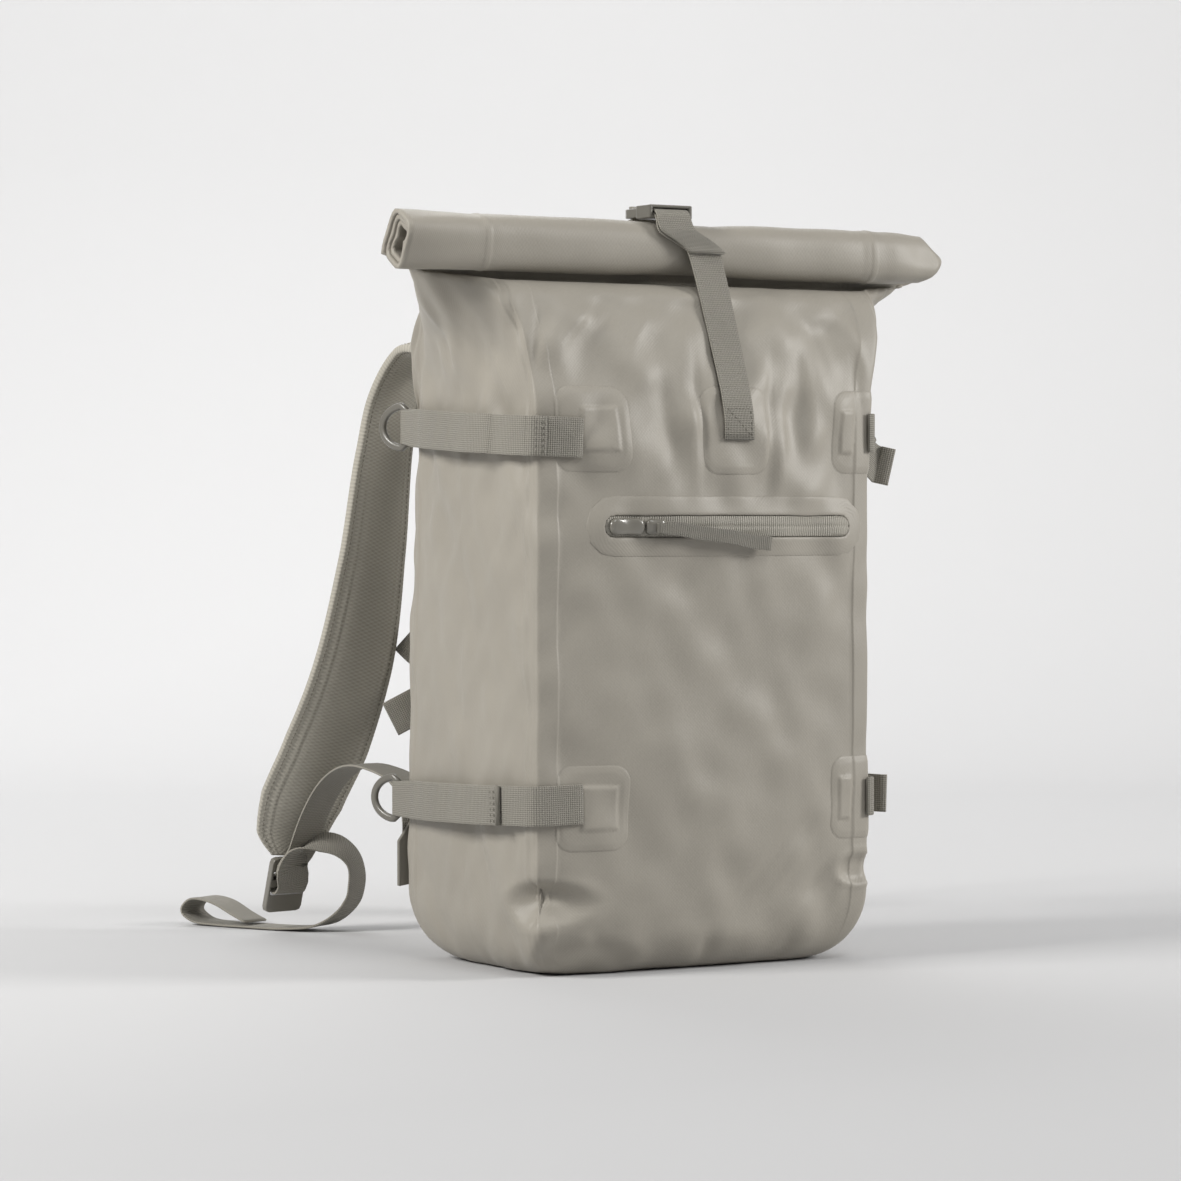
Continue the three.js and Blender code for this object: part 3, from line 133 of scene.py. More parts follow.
# Small creases that only the visual model has: depth in millimetres, before the gain.
CREASE_GAIN = 1.3
CREASES = table(
    "around up wide tall turn depth",
    (-1.14, 0.112, 0.08, 0.012, 14, -2.0),
    (-0.88, 0.1, 0.06, 0.01, -18, 1.8),
    (-0.66, 0.055, 0.06, 0.01, -30, -1.2),
    (0.02, 0.03, 0.05, 0.02, 0, -1.6),
    (0.55, 0.03, 0.06, 0.02, 0, -1.2),
    (-0.78, 0.062, 0.14, 0.01, 20, -0.9),
    (-0.72, 0.078, 0.12, 0.012, 24, 0.7),
    (-0.9, 0.895, 0.03, 0.05, -20, -1.4),
    (-0.7, 0.905, 0.028, 0.045, -38, 1.2),
    (-0.5, 0.915, 0.03, 0.04, -46, -1.2),
    (-0.36, 0.9, 0.024, 0.04, -30, 0.9),
    (-0.14, 0.765, 0.022, 0.07, 4, 1.1),
    (-0.08, 0.79, 0.02, 0.08, 2, -1.2),
    (0.02, 0.86, 0.024, 0.06, -4, 0.8),
    (0.34, 0.77, 0.022, 0.08, -4, -1.3),
    (0.41, 0.75, 0.022, 0.07, -6, 1.0),
    (0.58, 0.84, 0.03, 0.06, 10, 1.0),
    (0.66, 0.87, 0.028, 0.05, 20, -1.1),
    (0.84, 0.9, 0.03, 0.05, 26, 1.2),
    (0.9, 0.82, 0.035, 0.06, 8, -1.0),
    (-0.62, 0.67, 0.1, 0.02, 30, -0.7),
    (0.62, 0.665, 0.12, 0.02, -18, 0.7),
    (0.2, 0.56, 0.2, 0.03, -12, -0.6),
    (-0.45, 0.47, 0.16, 0.03, 24, -0.6),
    (0.5, 0.36, 0.14, 0.03, 36, 0.7),
    (0.05, 0.27, 0.16, 0.025, -26, -0.7),
    (0.38, 0.16, 0.035, 0.06, -42, -1.2),
    (0.52, 0.15, 0.035, 0.06, -40, 1.1),
    (0.66, 0.12, 0.035, 0.05, -38, -1.1),
    (0.82, 0.1, 0.04, 0.05, -30, 1.0),
    (-0.2, 0.075, 0.2, 0.014, 6, -0.7),
    (0.15, 0.05, 0.22, 0.012, -4, 0.6),
    (-1.75, 0.19, 0.04, 0.07, 24, -0.9),
    (-2.15, 0.18, 0.04, 0.07, -26, 0.8),
    (-1.4, 0.86, 0.05, 0.06, 30, -1.0),
    (-1.75, 0.88, 0.05, 0.05, 20, 0.9),
    (-2.3, 0.87, 0.05, 0.05, -10, -0.9),
    (1.4, 0.86, 0.05, 0.06, -30, -1.0),
    (1.8, 0.88, 0.05, 0.05, -20, 0.9),
    (-1.4, 0.5, 0.1, 0.1, 0, -0.5),
    (1.5, 0.5, 0.1, 0.1, 0, -0.5),
    (3.6, 0.86, 0.06, 0.06, 20, -0.9),
    (-3.6, 0.86, 0.06, 0.06, -20, -0.9),
)

# Dents with a sharp lip: around, z, half sizes in around and millimetres, depth and height of the lip.
LENSES = table(
    "around z wide tall depth lip",
    (-1.01, 47, 0.3, 13, -6, 1.5),
    (-0.76, 12, 0.3, 11, -3, 0.8),
    (0.93, 60, 0.12, 9, -4, 1.0),
)

# Soft waves of the whole skin: half-waves a unit of around, waves a unit of up, phase and size in millimetres.
# They are stronger in the loose upper part of the bag and weaker along its right front corner.
SLACK_FROM, SLACK_OVER, SLACK_GAIN = 0.45, 0.3, 0.9
CALM_AT, CALM_HALF, CALM_SHARE = 1, 0.14, 0.7
WAVES = table(
    "across up phase size",
    (2.25, 5.3, 0.4, 0.45),
    (-3.5, 4.1, 1.9, 0.4),
    (4.25, 6.7, 3.1, 0.3),
    (-5.5, 2.6, 5.2, 0.3),
    (5.75, 9.8, 0.9, 0.2),
    (-2.25, 11.3, 2.3, 0.25),
    (7.5, 4.4, 4.4, 0.16),
    (-6.75, 12.1, 1.2, 0.14),
    (1.25, 15.2, 3.7, 0.14),
    (8.75, -9.4, 5.9, 0.1),
    (10.5, 6.2, 2.7, 0.08),
    (-9.25, 16.3, 0.2, 0.08),
)

# The welded bands beside the corners: the skin steps out by a layer between two shares of around.
WELD_STEP, WELD_EDGE = 0.8, 0.012
SEAM_BEAD, SEAM_AT, SEAM_HALF = 0.45, 0.889, 0.006
WELDS = ((0.885, 1.0), (1.09, 1.13), (2.8, 2.86))

ROLL_SECTIONS = table(
    "along deep tall turn square",
    (-1, 0.88, 1, 30, 4),
    (-0.85, 1, 1, 14, 3),
    (-0.3, 1, 1.02, 0, 2.5),
    (0.05, 0.96, 0.94, 0, 2.4),
    (0.35, 1, 1, 0, 2.5),
    (0.8, 1, 0.98, -8, 2.6),
    (1, 0.62, 0.86, -22, 3),
)
# Dents of the roll: x, angle round it, their half sizes, slant in degrees a millimetre, and depth.
ROLL_DENTS = table(
    "x angle wide span slant depth",
    (-150, 120, 9, 60, 1.2, -0.7),
    (-90, 150, 14, 50, 0.8, -0.6),
    (-40, 165, 20, 40, -0.5, -0.8),
    (28, 120, 12, 60, 0.6, -0.9),
    (52, 150, 16, 50, -0.8, 0.6),
    (96, 140, 14, 50, 1.0, -0.8),
    (140, 150, 4, 90, 0.1, -0.5),
    (160, 150, 4, 90, 0.1, -0.5),
    (-128, 150, 3.5, 90, 0.1, -0.5),
    (190, 160, 8, 60, 1.5, -0.9),
)


def mix(a, b, f):
    return a + (b - a) * f


def unit(vectors):
    return vectors / np.maximum(np.linalg.norm(vectors, axis=-1, keepdims=True), 1e-9)


def run_along(points):
    """The length of a line from its start to each of its points."""
    return np.concatenate([[0], np.cumsum(np.linalg.norm(np.diff(points, axis=0), axis=1))])


def between(values, at, end=None):
    """A smooth value between rows; the last one is end where it isn't the same everywhere."""
    last = len(values) - 1 if end is None else len(values)
    row = np.clip(np.floor(at).astype(int), 0, last - 1)
    f = at - row

    def value(k):
        k = np.clip(k, 0, last)
        if end is None:
            return values[k]
        return np.where(k == last, end, values[np.minimum(k, last - 1)])

    a, b, c, d = (value(row + k) for k in (-1, 0, 1, 2))
    return b + 0.5 * f * (c - a + f * (2 * a - 5 * b + 4 * c - d + f * (3 * (b - c) + d - a)))


def lookup(rows, key, name, at):
    keys = rows[key]
    row = np.clip(np.searchsorted(keys[1:], at, side="left"), 0, len(keys) - 2)
    share = np.clip((at - keys[row]) / (keys[row + 1] - keys[row]), 0, 1)
    return between(rows[name], row + share)


def roll_radius(angle, x):
    along = np.clip((x - ROLL_SHIFT) / ROLL_HALF, -1, 1)
    deep = 0.5 * ROLL_DEPTH * lookup(ROLL_SECTIONS, "along", "deep", along)
    tall = 0.5 * ROLL_TALL * lookup(ROLL_SECTIONS, "along", "tall", along)
    turn = lookup(ROLL_SECTIONS, "along", "turn", along)
    a = np.radians(angle - turn)
    power = lookup(ROLL_SECTIONS, "along", "square", along)
    radius = ((np.abs(np.cos(a)) / deep) ** power + (np.abs(np.sin(a)) / tall) ** power) ** (-1 / power)
    for dx, middle, wide, span, slant, depth in zip(*ROLL_DENTS.values()):
        off = (angle - middle - slant * (x - dx) + 180) % 360 - 180
        radius = radius + depth * np.exp(-(((x - dx) / wide) ** 2) - (off / span) ** 2)
    return radius


def over_roll(angle, x, lift):
    radius = roll_radius(angle, x) + lift
    a = np.radians(angle)
    return ROLL_LEAN + radius * np.cos(a), NECK_HEIGHT + ROLL_LIFT + radius * np.sin(a)


FLAT_HALF = NECK_WALL + NECK_GAP / 2
NECK_HALF = HALF_WIDTH * SECTIONS["wide"][-1]


def spine(row, x):
    """The section's middle, slope and half sizes at rows, as {name: array}."""
    row, x = np.broadcast_arrays(np.asarray(row, float), np.asarray(x, float))
    base = row < 1
    rolled = row >= ROLL_ROW
    arc = np.minimum(row, 1) * math.pi / 2
    turn = ROLL_START + (row - ROLL_ROW) * ROLL_STEP
    turn_y, turn_z = over_roll(turn, x, -FLAT_HALF - ROLL_PITCH * (turn - ROLL_START) / 360)
    start_y, start_z = over_roll(np.full_like(row, ROLL_START), x, -FLAT_HALF)
    at = np.clip(row - 1, 0, ROLL_ROW - 1)

    def column(name, end):
        return between(SECTIONS[name], at, end)

    neck_out = ROLL_HALF - NECK_HALF
    mixed = {
        "y": (0, BODY_DEPTH * column("lean", start_y / BODY_DEPTH), turn_y),
        "z": (
            BOTTOM_RISE * (1 - np.cos(arc)),
            np.where(row == 1, BOTTOM_RISE, NECK_HEIGHT * column("up", start_z / NECK_HEIGHT)),
            turn_z,
        ),
        "tip": (0, column("tip", ROLL_START), turn),
        "half": (HALF_DEPTH, np.maximum(HALF_DEPTH * column("depth", FLAT_HALF / HALF_DEPTH), FLAT_HALF), FLAT_HALF),
        "wide": (HALF_WIDTH, HALF_WIDTH * column("wide", NECK_HALF / HALF_WIDTH), NECK_HALF),
        "out": (0, np.maximum(HALF_DEPTH * column("out", neck_out / HALF_DEPTH), 0), neck_out),
        "inset": (BOTTOM_INSET * (1 - np.sin(arc)), 0, 0),
        "soft": (np.maximum(BASE_ROUND * (1 - np.sin(arc)), 0), 0, 0),
        "bulge": (
            SECTIONS["bulge"][0] * np.maximum(np.sin(arc), 0),
            np.maximum(column("bulge", 0), 0),
            0,
        ),
    }
    return {name: np.where(base, low, np.where(rolled, high, mid)) for name, (low, mid, high) in mixed.items()}


def dents(rows, around, up, scale):
    out = np.zeros(np.broadcast(around, up).shape)
    for middle, height, wide, tall, turn, depth in zip(*rows.values()):
        a = math.radians(turn)
        du = around - middle
        dv = (up - height) * (NECK_HEIGHT / HALF_WIDTH)
        u = (du * math.cos(a) + dv * math.sin(a)) / wide
        v = (dv * math.cos(a) - du * math.sin(a)) / (tall * NECK_HEIGHT / HALF_WIDTH)
        out += scale * depth * np.exp(-u * u - v * v)
    return out


def relief(around, z, bulge):
    up = z / NECK_HEIGHT
    out = dents(FOLDS, around, up, FOLD_DEPTH) + dents(CREASES, around, up, CREASE_GAIN)
    calm = 1 - CALM_SHARE * np.exp(-(((around - CALM_AT) / CALM_HALF) ** 2))
    slack = (1 + SLACK_GAIN * np.clip((up - SLACK_FROM) / SLACK_OVER, 0, 1)) * calm
    for across, rise, phase, size in zip(*WAVES.values()):
        out += slack * size * np.sin(2 * math.pi * (across * around / 2 + rise * up) + phase)
    for middle, height, wide, tall, depth, lip in zip(*LENSES.values()):
        reach = np.hypot((around - middle) / wide, (z - height) / tall)
        out += depth * np.exp(-(reach**4)) + lip * np.exp(-(((reach - 1.2) / 0.25) ** 2))
    far = np.abs(around)
    front = FRONT_BULGE * bulge * (1 - np.minimum(far, 1) ** 2.4)
    side = SIDE_BULGE * bulge * (1 - (far - 2) ** 2)
    return out + np.where(far < 1, front, 0) + np.where((far > 1) & (far < 3), side, 0)


def weld(around):
    far = np.abs(around)
    out = 0
    for low, high in WELDS:
        rise = np.clip((far - low) / WELD_EDGE, 0, 1)
        fall = np.clip((high + WELD_EDGE - far) / WELD_EDGE, 0, 1)
        out = out + WELD_STEP * np.minimum(rise, fall)
    return out + SEAM_BEAD * np.exp(-(((far - SEAM_AT) / SEAM_HALF) ** 2))


def section_point(around, at):
    far = np.abs(around)
    half, inset = at["half"], at["inset"]
    width, depth = at["wide"] - inset, half - inset
    side = width + at["out"]
    edge = np.minimum(FLAT_HALF, depth)
    zero = np.zeros(np.broadcast(far, width).shape)
    width, depth, side, edge = (size + zero for size in (width, depth, side, edge))
    xs = [zero, width, side, side, width, zero]
    ys = [-depth, -depth, -edge, edge, depth, depth]
    places = [0, 1, 2 - FOLD_SPAN, 2 + FOLD_SPAN, 3, 4]
    cuts = [None, FRONT_ROUND + at["soft"], None, None, BACK_ROUND + at["soft"], None]
    out_x, out_y = zero.copy(), zero.copy()
    for k in range(5):
        inside = (far >= places[k]) & ((far < places[k + 1]) | (k == 4)) & (zero == 0)
        f = (far - places[k]) / (places[k + 1] - places[k])
        length = np.maximum(np.hypot(xs[k + 1] - xs[k], ys[k + 1] - ys[k]), 1e-6)
        px, py = mix(xs[k], xs[k + 1], f), mix(ys[k], ys[k + 1], f)
        near = f * length
        for corner, gap, sign in ((k, near, 1), (k + 1, length - near, -1)):
            cut = cuts[corner]
            if cut is None:
                continue
            step = 0.5 + sign * gap / (2 * cut)
            ends = []
            for other in (corner - 1, corner + 1):
                dx, dy = xs[other] - xs[corner], ys[other] - ys[corner]
                size = np.maximum(np.hypot(dx, dy), 1e-6)
                ends.append((xs[corner] + dx / size * cut, ys[corner] + dy / size * cut))
            s = 1 - step
            bx = ends[0][0] * s * s + xs[corner] * 2 * s * step + ends[1][0] * step * step
            by = ends[0][1] * s * s + ys[corner] * 2 * s * step + ends[1][1] * step * step
            px, py = np.where(gap < cut, bx, px), np.where(gap < cut, by, py)
        out_x, out_y = np.where(inside, px, out_x), np.where(inside, py, out_y)
    return np.where(around < 0, -out_x, out_x), out_y


# The shares of around to either side over which the seams' and the relief's directions are taken.
SEAM_REACH, RELIEF_REACH = 0.02, 0.12


def fabric(row, around):
    """Points of the outer skin, as an array with x, y and z last."""
    row, around = np.broadcast_arrays(np.asarray(row, float), np.asarray(around, float))
    around = (around + 4) % 8 - 4
    flat = spine(row, 0)
    px, py = section_point(around, flat)
    directions = []
    for step in (SEAM_REACH, RELIEF_REACH):
        ax, ay = section_point(np.minimum(around + step, 4), flat)
        bx, by = section_point(np.maximum(around - step, -4), flat)
        size = np.maximum(np.hypot(ax - bx, ay - by), 1e-9)
        directions.append(((ax - bx) / size, (ay - by) / size))
    (run_x, run_y), (wide_x, wide_y) = directions
    loose = np.clip((flat["half"] - FLAT_HALF) / (0.3 * HALF_DEPTH), 0, 1)
    seam = np.clip((row - 0.4) / 0.8, 0, 1) * weld(around) * mix(0.5, 1, loose)
    out = loose * relief(around, flat["z"], flat["bulge"])
    px = px + wide_y * out + run_y * seam + ROLL_SHIFT * np.clip((row - RIM_ROW) / 2 + 1, 0, 1)
    py = py - wide_x * out - run_x * seam
    turns = np.maximum(row - ROLL_ROW, 0) * ROLL_STEP / 360
    px = px - (px - ROLL_SHIFT) * ROLL_RECESS * turns / ROLL_HALF
    far = np.maximum((px - ROLL_SHIFT) / ROLL_HALF - 0.8, 0) / 0.2
    steep = np.sin(np.radians(ROLL_START + (row - ROLL_ROW) * ROLL_STEP))
    px = px - END_CUT * far**2 * steep**2 * np.clip(row - ROLL_ROW + 1, 0, 1)
    centre = spine(row, px)
    tip = np.radians(centre["tip"])
    return np.stack([px, centre["y"] + py * np.cos(tip), centre["z"] + py * np.sin(tip)], -1)


def skin(row, around, lift):
    step = 0.02
    row, around, lift = np.broadcast_arrays(np.asarray(row, float), np.asarray(around, float), np.asarray(lift, float))
    run = fabric(row, around + step) - fabric(row, around - step)
    rise = fabric(row + step, around) - fabric(row - step, around)
    return fabric(row, around) + unit(np.cross(run, rise)) * lift[..., None]


ROW_GRID = np.linspace(0, RIM_ROW + 2, 4000)
ROW_HEIGHTS = spine(ROW_GRID, 0)["z"]


def row_at(height):
    return np.interp(height, ROW_HEIGHTS, ROW_GRID)


def around_at(x):
    far = np.abs(x)
    return np.sign(x) * (np.minimum(far, HALF_WIDTH) / HALF_WIDTH + np.maximum(far - HALF_WIDTH, 0) / HALF_DEPTH)


def spot(start, dx, height, lift):
    return skin(row_at(height), start + np.asarray(dx, float) / HALF_WIDTH, lift)


def add_object(name, data):
    obj = bpy.data.objects.new(name, data)
    scene.collection.objects.link(obj)
    return obj


def new_mesh(name, points, faces, uvs):
    """A smooth mesh from points in millimetres, with faces that look outward."""
    mesh = bpy.data.meshes.new(name)
    mesh.from_pydata((np.asarray(points) * MM).tolist(), [], faces)
    layer = mesh.uv_layers.new(name="UVMap")
    layer.data.foreach_set("uv", np.asarray(uvs, np.float32).ravel())
    mesh.update()
    mesh.polygons.foreach_set("use_smooth", [True] * len(mesh.polygons))
    return add_object(name, mesh)


def volume(points, faces):
    """Six times the volume inside the faces, which is negative where they look inward."""
    total = 0.0
    p = np.asarray(points)
    for size in sorted({len(f) for f in faces}):
        index = np.array([f for f in faces if len(f) == size])
        for k in range(1, size - 1):
            a, b, c = p[index[:, 0]], p[index[:, k]], p[index[:, k + 1]]
            total += np.einsum("ij,ij->i", a, np.cross(b, c)).sum()
    return total


def ring_mesh(name, rings, u, v, joined=False):
    """A closed body through rings of points; u runs round a ring and v from ring to ring, in millimetres."""
    rings = np.asarray(rings, float)
    count, size = rings.shape[:2]
    u = np.broadcast_to(np.asarray(u, float), (count, size + 1))
    v = np.broadcast_to(np.asarray(v, float).reshape(-1, 1), (count, size + 1))
    points = rings.reshape(-1, 3)
    faces, uvs = [], []
    for r in range(count if joined else count - 1):
        n = (r + 1) % count
        for k in range(size):
            j = (k + 1) % size
            faces.append((r * size + k, r * size + j, n * size + j, n * size + k))
            uvs.append([(u[r, k], v[r, k]), (u[r, k + 1], v[r, k]), (u[n, k + 1], v[n, k]), (u[n, k], v[n, k])])
    if not joined:
        hubs = rings[[0, -1]].mean(axis=1)
        for end, start in ((0, 0), (1, (count - 1) * size)):
            hub = len(points) + end
            for k in range(size):
                j = (k + 1) % size
                faces.append((start + j, start + k, hub) if end == 0 else (start + k, start + j, hub))
                uvs.append([(u[-end, k], v[-end, k])] * 3)
        points = np.concatenate([points, hubs])
    if volume(points, faces) < 0:
        faces, uvs = [f[::-1] for f in faces], [corners[::-1] for corners in uvs]
    return new_mesh(name, points, faces, [uv for corners in uvs for uv in corners])


def slab_mesh(name, top, bottom, u, v):
    """A closed slab between two grids of the same size."""
    rows, cols = top.shape[:2]
    points = np.concatenate([top.reshape(-1, 3), bottom.reshape(-1, 3)])
    half = rows * cols
    flat_u, flat_v = np.broadcast_to(u, (rows, cols)).ravel(), np.broadcast_to(v, (rows, cols)).ravel()
    faces = []
    for r in range(rows - 1):
        for k in range(cols - 1):
            a, b, c, d = r * cols + k, r * cols + k + 1, (r + 1) * cols + k + 1, (r + 1) * cols + k
            faces.append((a, b, c, d))
            faces.append((half + d, half + c, half + b, half + a))
    edge = [*range(cols)] + [r * cols + cols - 1 for r in range(1, rows)]
    edge += [(rows - 1) * cols + k for k in range(cols - 2, -1, -1)] + [r * cols for r in range(rows - 2, 0, -1)]
    for a, b in zip(edge, edge[1:] + edge[:1]):
        faces.append((b, a, half + a, half + b))
    if volume(points, faces) < 0:
        faces = [f[::-1] for f in faces]
    uvs = [(flat_u[i % half], flat_v[i % half]) for f in faces for i in f]
    return new_mesh(name, points, faces, uvs)


def chaikin(stops, rounds=2):
    """Cuts the corners of a line of stops, whose columns are x, y, z and more."""
    for _ in range(rounds):
        low, high = mix(stops[:-1], stops[1:], 0.25), mix(stops[:-1], stops[1:], 0.75)
        middle = np.stack([low, high], 1).reshape(-1, stops.shape[1])
        stops = np.concatenate([stops[:1], middle[1:-1], stops[-1:]])
    return stops


def smooth_line(stops, steps):
    """A centripetal curve through points, and the other columns straight between them."""
    p = stops[:, :3]
    ends = np.concatenate([2 * p[:1] - p[1:2], p, 2 * p[-1:] - p[-2:-1]])
    made = []
    for k in range(steps + 1):
        at = k / steps * (len(p) - 1)
        row = min(int(at), len(p) - 2)
        f = at - row
        q = ends[row : row + 4]
        knots = np.concatenate([[0], np.cumsum(np.maximum(np.linalg.norm(np.diff(q, axis=0), axis=1) ** 0.5, 1e-4))])
        t = mix(knots[1], knots[2], f)
        level = list(q)
        for lows, highs in ((knots[:3], knots[1:]), (knots[:2], knots[2:]), (knots[1:2], knots[2:3])):
            pairs = zip(level, level[1:], lows, highs)
            level = [(a * (high - t) + b * (t - low)) / (high - low) for a, b, low, high in pairs]
        made.append(np.concatenate([level[0], mix(stops[row, 3:], stops[row + 1, 3:], f)]))
    return np.array(made)


def frames(stops, sheared=False):
    """Points, the direction across and the normal along a line of stops."""
    p, across = stops[:, :3], stops[:, 3:6]
    run = unit(np.gradient(p, axis=0))
    normal = unit(np.cross(run, across))
    return p, across if sheared else np.cross(normal, run), normal


# Half of a strip's section: shares of its half width and half thickness.
BAND_HALF = [(-1, 0.35), (-0.985, 0.85), (-0.93, 1), (-0.5, 1), (0, 1), (0.5, 1), (0.93, 1), (0.985, 0.85), (1, 0.35)]


def band(name, stops, rounds=2, half=BAND_HALF, sheared=False):
    """A strip of webbing: the columns of stops are x, y, z, the direction across, width and thickness."""
    stops = chaikin(stops, rounds) if rounds else stops
    p, across, normal = frames(stops, sheared)
    w, t = stops[:, 6, None] / 2, stops[:, 7, None] / 2
    section = half + [(u, -v) for u, v in reversed(half)]
    rings = np.stack([p + across * (w * u) + normal * (t * v) for u, v in section], 1)
    run = run_along(p)
    u = [s[0] * WEB_WIDTH / 2 for s in section] + [section[0][0] * WEB_WIDTH / 2]
    return ring_mesh(name, rings, u, run)


def stop(p, across, width=WEB_WIDTH, thick=WEB_THICK):
    return [*p, *across, width, thick]


def over_band(stops, rounds=2, sheared=False):
    """A function that gives points over a strip from the run, the share across and the lift."""
    stops = chaikin(stops, rounds) if rounds else stops
    p, across, normal = frames(stops, sheared)
    run = run_along(p)
    columns = np.concatenate([p, across, normal, stops[:, 6:8]], 1).T

    def at(along, share, lift):
        """Lift is a share of half the thickness; along counts back from the end where it is negative."""
        along = np.where(along < 0, run[-1] + along, along)
        c = np.array([np.interp(along, run, column) for column in columns])
        return (c[0:3] + c[3:6] * (share * c[9] / 2) + c[6:9] * (lift * c[10] / 2)).T

    return at, run[-1]


# A stitch is five rings of five points, with a face over each end.
STITCH_PITCH, STITCH_RADIUS, STITCH_FACES = 3.6, 0.24, 22


def stitches(name, at, lines, lift):
    """Rows of stitches over a strip; lines are pairs of (run, share across)."""
    points, faces = [], []
    for (r0, s0), (r1, s1) in lines:
        long = math.hypot(r1 - r0, (s1 - s0) * WEB_WIDTH / 2)
        count = max(round(long / STITCH_PITCH), 1)
        for k in range(count):
            f = (k + np.array([0.02, 0.16, 0.34, 0.52, 0.66])) / count
            middle = at(mix(r0, r1, f), mix(s0, s1, f), lift)
            under = at(mix(r0, r1, f), mix(s0, s1, f), 0.7 * lift)
            up = unit(middle - under)
            side = np.cross(up, unit(middle[-1] - middle[0]))
            middle = middle + up * (STITCH_RADIUS * np.array([-1.5, 0.3, 0.8, 0.3, -1.5]))[:, None]
            start = len(points)
            for q, u, w in zip(middle, up, side):
                for a in np.radians([0, 72, 144, 216, 288]):
                    points.append(q + STITCH_RADIUS * (u * math.sin(a) + w * math.cos(a)))
            for r in range(4):
                for j in range(5):
                    i, n = start + r * 5 + j, start + r * 5 + (j + 1) % 5
                    faces.append((i, n, n + 5, i + 5))
            faces.append(tuple(start + j for j in (4, 3, 2, 1, 0)))
            faces.append(tuple(start + 20 + j for j in range(5)))
    if volume(points, faces[:STITCH_FACES]) < 0:
        faces = [f[::-1] for f in faces]
    uvs = [(0.0, 0.0)] * sum(len(f) for f in faces)
    dress(new_mesh(name, points, faces, uvs), thread, "webbing")


# Materials
def new_material(name, roughness):
    made = bpy.data.materials.new(name)
    made.use_nodes = True
    nodes, links = made.node_tree.nodes, made.node_tree.links
    shader = nodes["Principled BSDF"]
    shader.inputs["Roughness"].default_value = roughness
    return made, nodes, links, shader


def surface(name, colour, roughness, sheen=0.0, coat=0.0, spread=0.06, bumps=(), grains=(), contrast=0.0):
    """Bumps are (millimetres a wave, turn in degrees, strength, height); grains are (millimetres, strength, height)."""
    made, nodes, links, shader = new_material(name, roughness)
    amounts = {"Sheen Weight": sheen, "Sheen Roughness": 0.5, "Coat Weight": coat, "Coat Roughness": 0.3}
    for socket, amount in amounts.items():
        shader.inputs[socket].default_value = amount
    shader.inputs["Specular IOR Level"].default_value = 0.4
    place = nodes.new("ShaderNodeTexCoord")
    cloud = nodes.new("ShaderNodeTexNoise")
    cloud.inputs["Scale"].default_value = 9
    cloud.inputs["Detail"].default_value = 5
    links.new(place.outputs["Object"], cloud.inputs["Vector"])
    ramp = nodes.new("ShaderNodeValToRGB")
    for element, position, shift in zip(ramp.color_ramp.elements, (0.3, 0.7), (-spread, spread)):
        element.position = position
        element.color = (*[c * (1 + shift) for c in colour], 1)
    links.new(cloud.outputs["Fac"], ramp.inputs["Fac"])
    paint = ramp.outputs["Color"]
    bumped = []

    def add_bump(source, strength, height):
        bump = nodes.new("ShaderNodeBump")
        bump.inputs["Strength"].default_value = strength
        bump.inputs["Distance"].default_value = height * MM
        links.new(source, bump.inputs["Height"])
        if bumped:
            links.new(bumped[-1], bump.inputs["Normal"])
        bumped.append(bump.outputs["Normal"])

    for wavelength, turn, strength, height in bumps:
        turned = nodes.new("ShaderNodeMapping")
        turned.inputs["Rotation"].default_value = (0, 0, math.radians(turn))
        links.new(place.outputs["UV"], turned.inputs["Vector"])
        wave = nodes.new("ShaderNodeTexWave")
        wave.wave_profile = "SIN"
        # One wave of Blender's texture is 2 pi / 20 units long.
        wave.inputs["Scale"].default_value = math.pi / 10 / wavelength
        links.new(turned.outputs["Vector"], wave.inputs["Vector"])
        add_bump(wave.outputs["Fac"], strength, height)
        if contrast:
            shade = nodes.new("ShaderNodeMix")
            shade.data_type = "RGBA"
            shade.blend_type = "MULTIPLY"
            shade.inputs[0].default_value = contrast
            links.new(paint, shade.inputs[6])
            links.new(wave.outputs["Color"], shade.inputs[7])
            paint = shade.outputs[2]
    links.new(paint, shader.inputs["Base Color"])
    for size, strength, height in grains:
        speck = nodes.new("ShaderNodeTexNoise")
        speck.inputs["Scale"].default_value = 1 / (size * MM)
        speck.inputs["Detail"].default_value = 3 if size < 10 else 0
        links.new(place.outputs["Object"], speck.inputs["Vector"])
        add_bump(speck.outputs["Fac"], strength, height)
    if bumped:
        links.new(bumped[-1], shader.inputs["Normal"])
    return made


coated = surface(
    "coated_fabric",
    (0.31, 0.287, 0.245),
    0.48,
    sheen=0.05,
    bumps=((1.7, 45, 0.3, 0.15), (1.7, -45, 0.15, 0.1)),
    grains=((2.2, 0.35, 0.3), (30, 0.35, 2.5)),
)
webbing = surface(
    "webbing",
    (0.3, 0.282, 0.24),
    0.75,
    sheen=0.1,
    bumps=((1.3, 0, 0.7, 0.4), (1.5, 90, 0.7, 0.4)),
    grains=((1.2, 0.3, 0.3),),
    contrast=0.22,
)
padding = surface(
    "padding",
    (0.44, 0.415, 0.356),
    0.8,
    sheen=0.1,
    bumps=((1.9, 45, 0.6, 0.3), (1.9, -45, 0.4, 0.25)),
    grains=((1.5, 0.3, 0.3),),
    contrast=0.15,
)
moulded = surface("moulded", (0.14, 0.132, 0.112), 0.3, coat=0.4, spread=0.03, grains=((0.8, 0.05, 0.3),))
glossy = surface("glossy", (0.17, 0.16, 0.136), 0.16, coat=0.8, spread=0.02)
zip_cloth = surface("zip_cloth", (0.34, 0.32, 0.275), 0.6, bumps=((1.6, 0, 0.8, 0.6),), grains=((1.0, 0.2, 0.3),))
thread = surface("thread", (0.2, 0.187, 0.158), 0.7, spread=0.02)


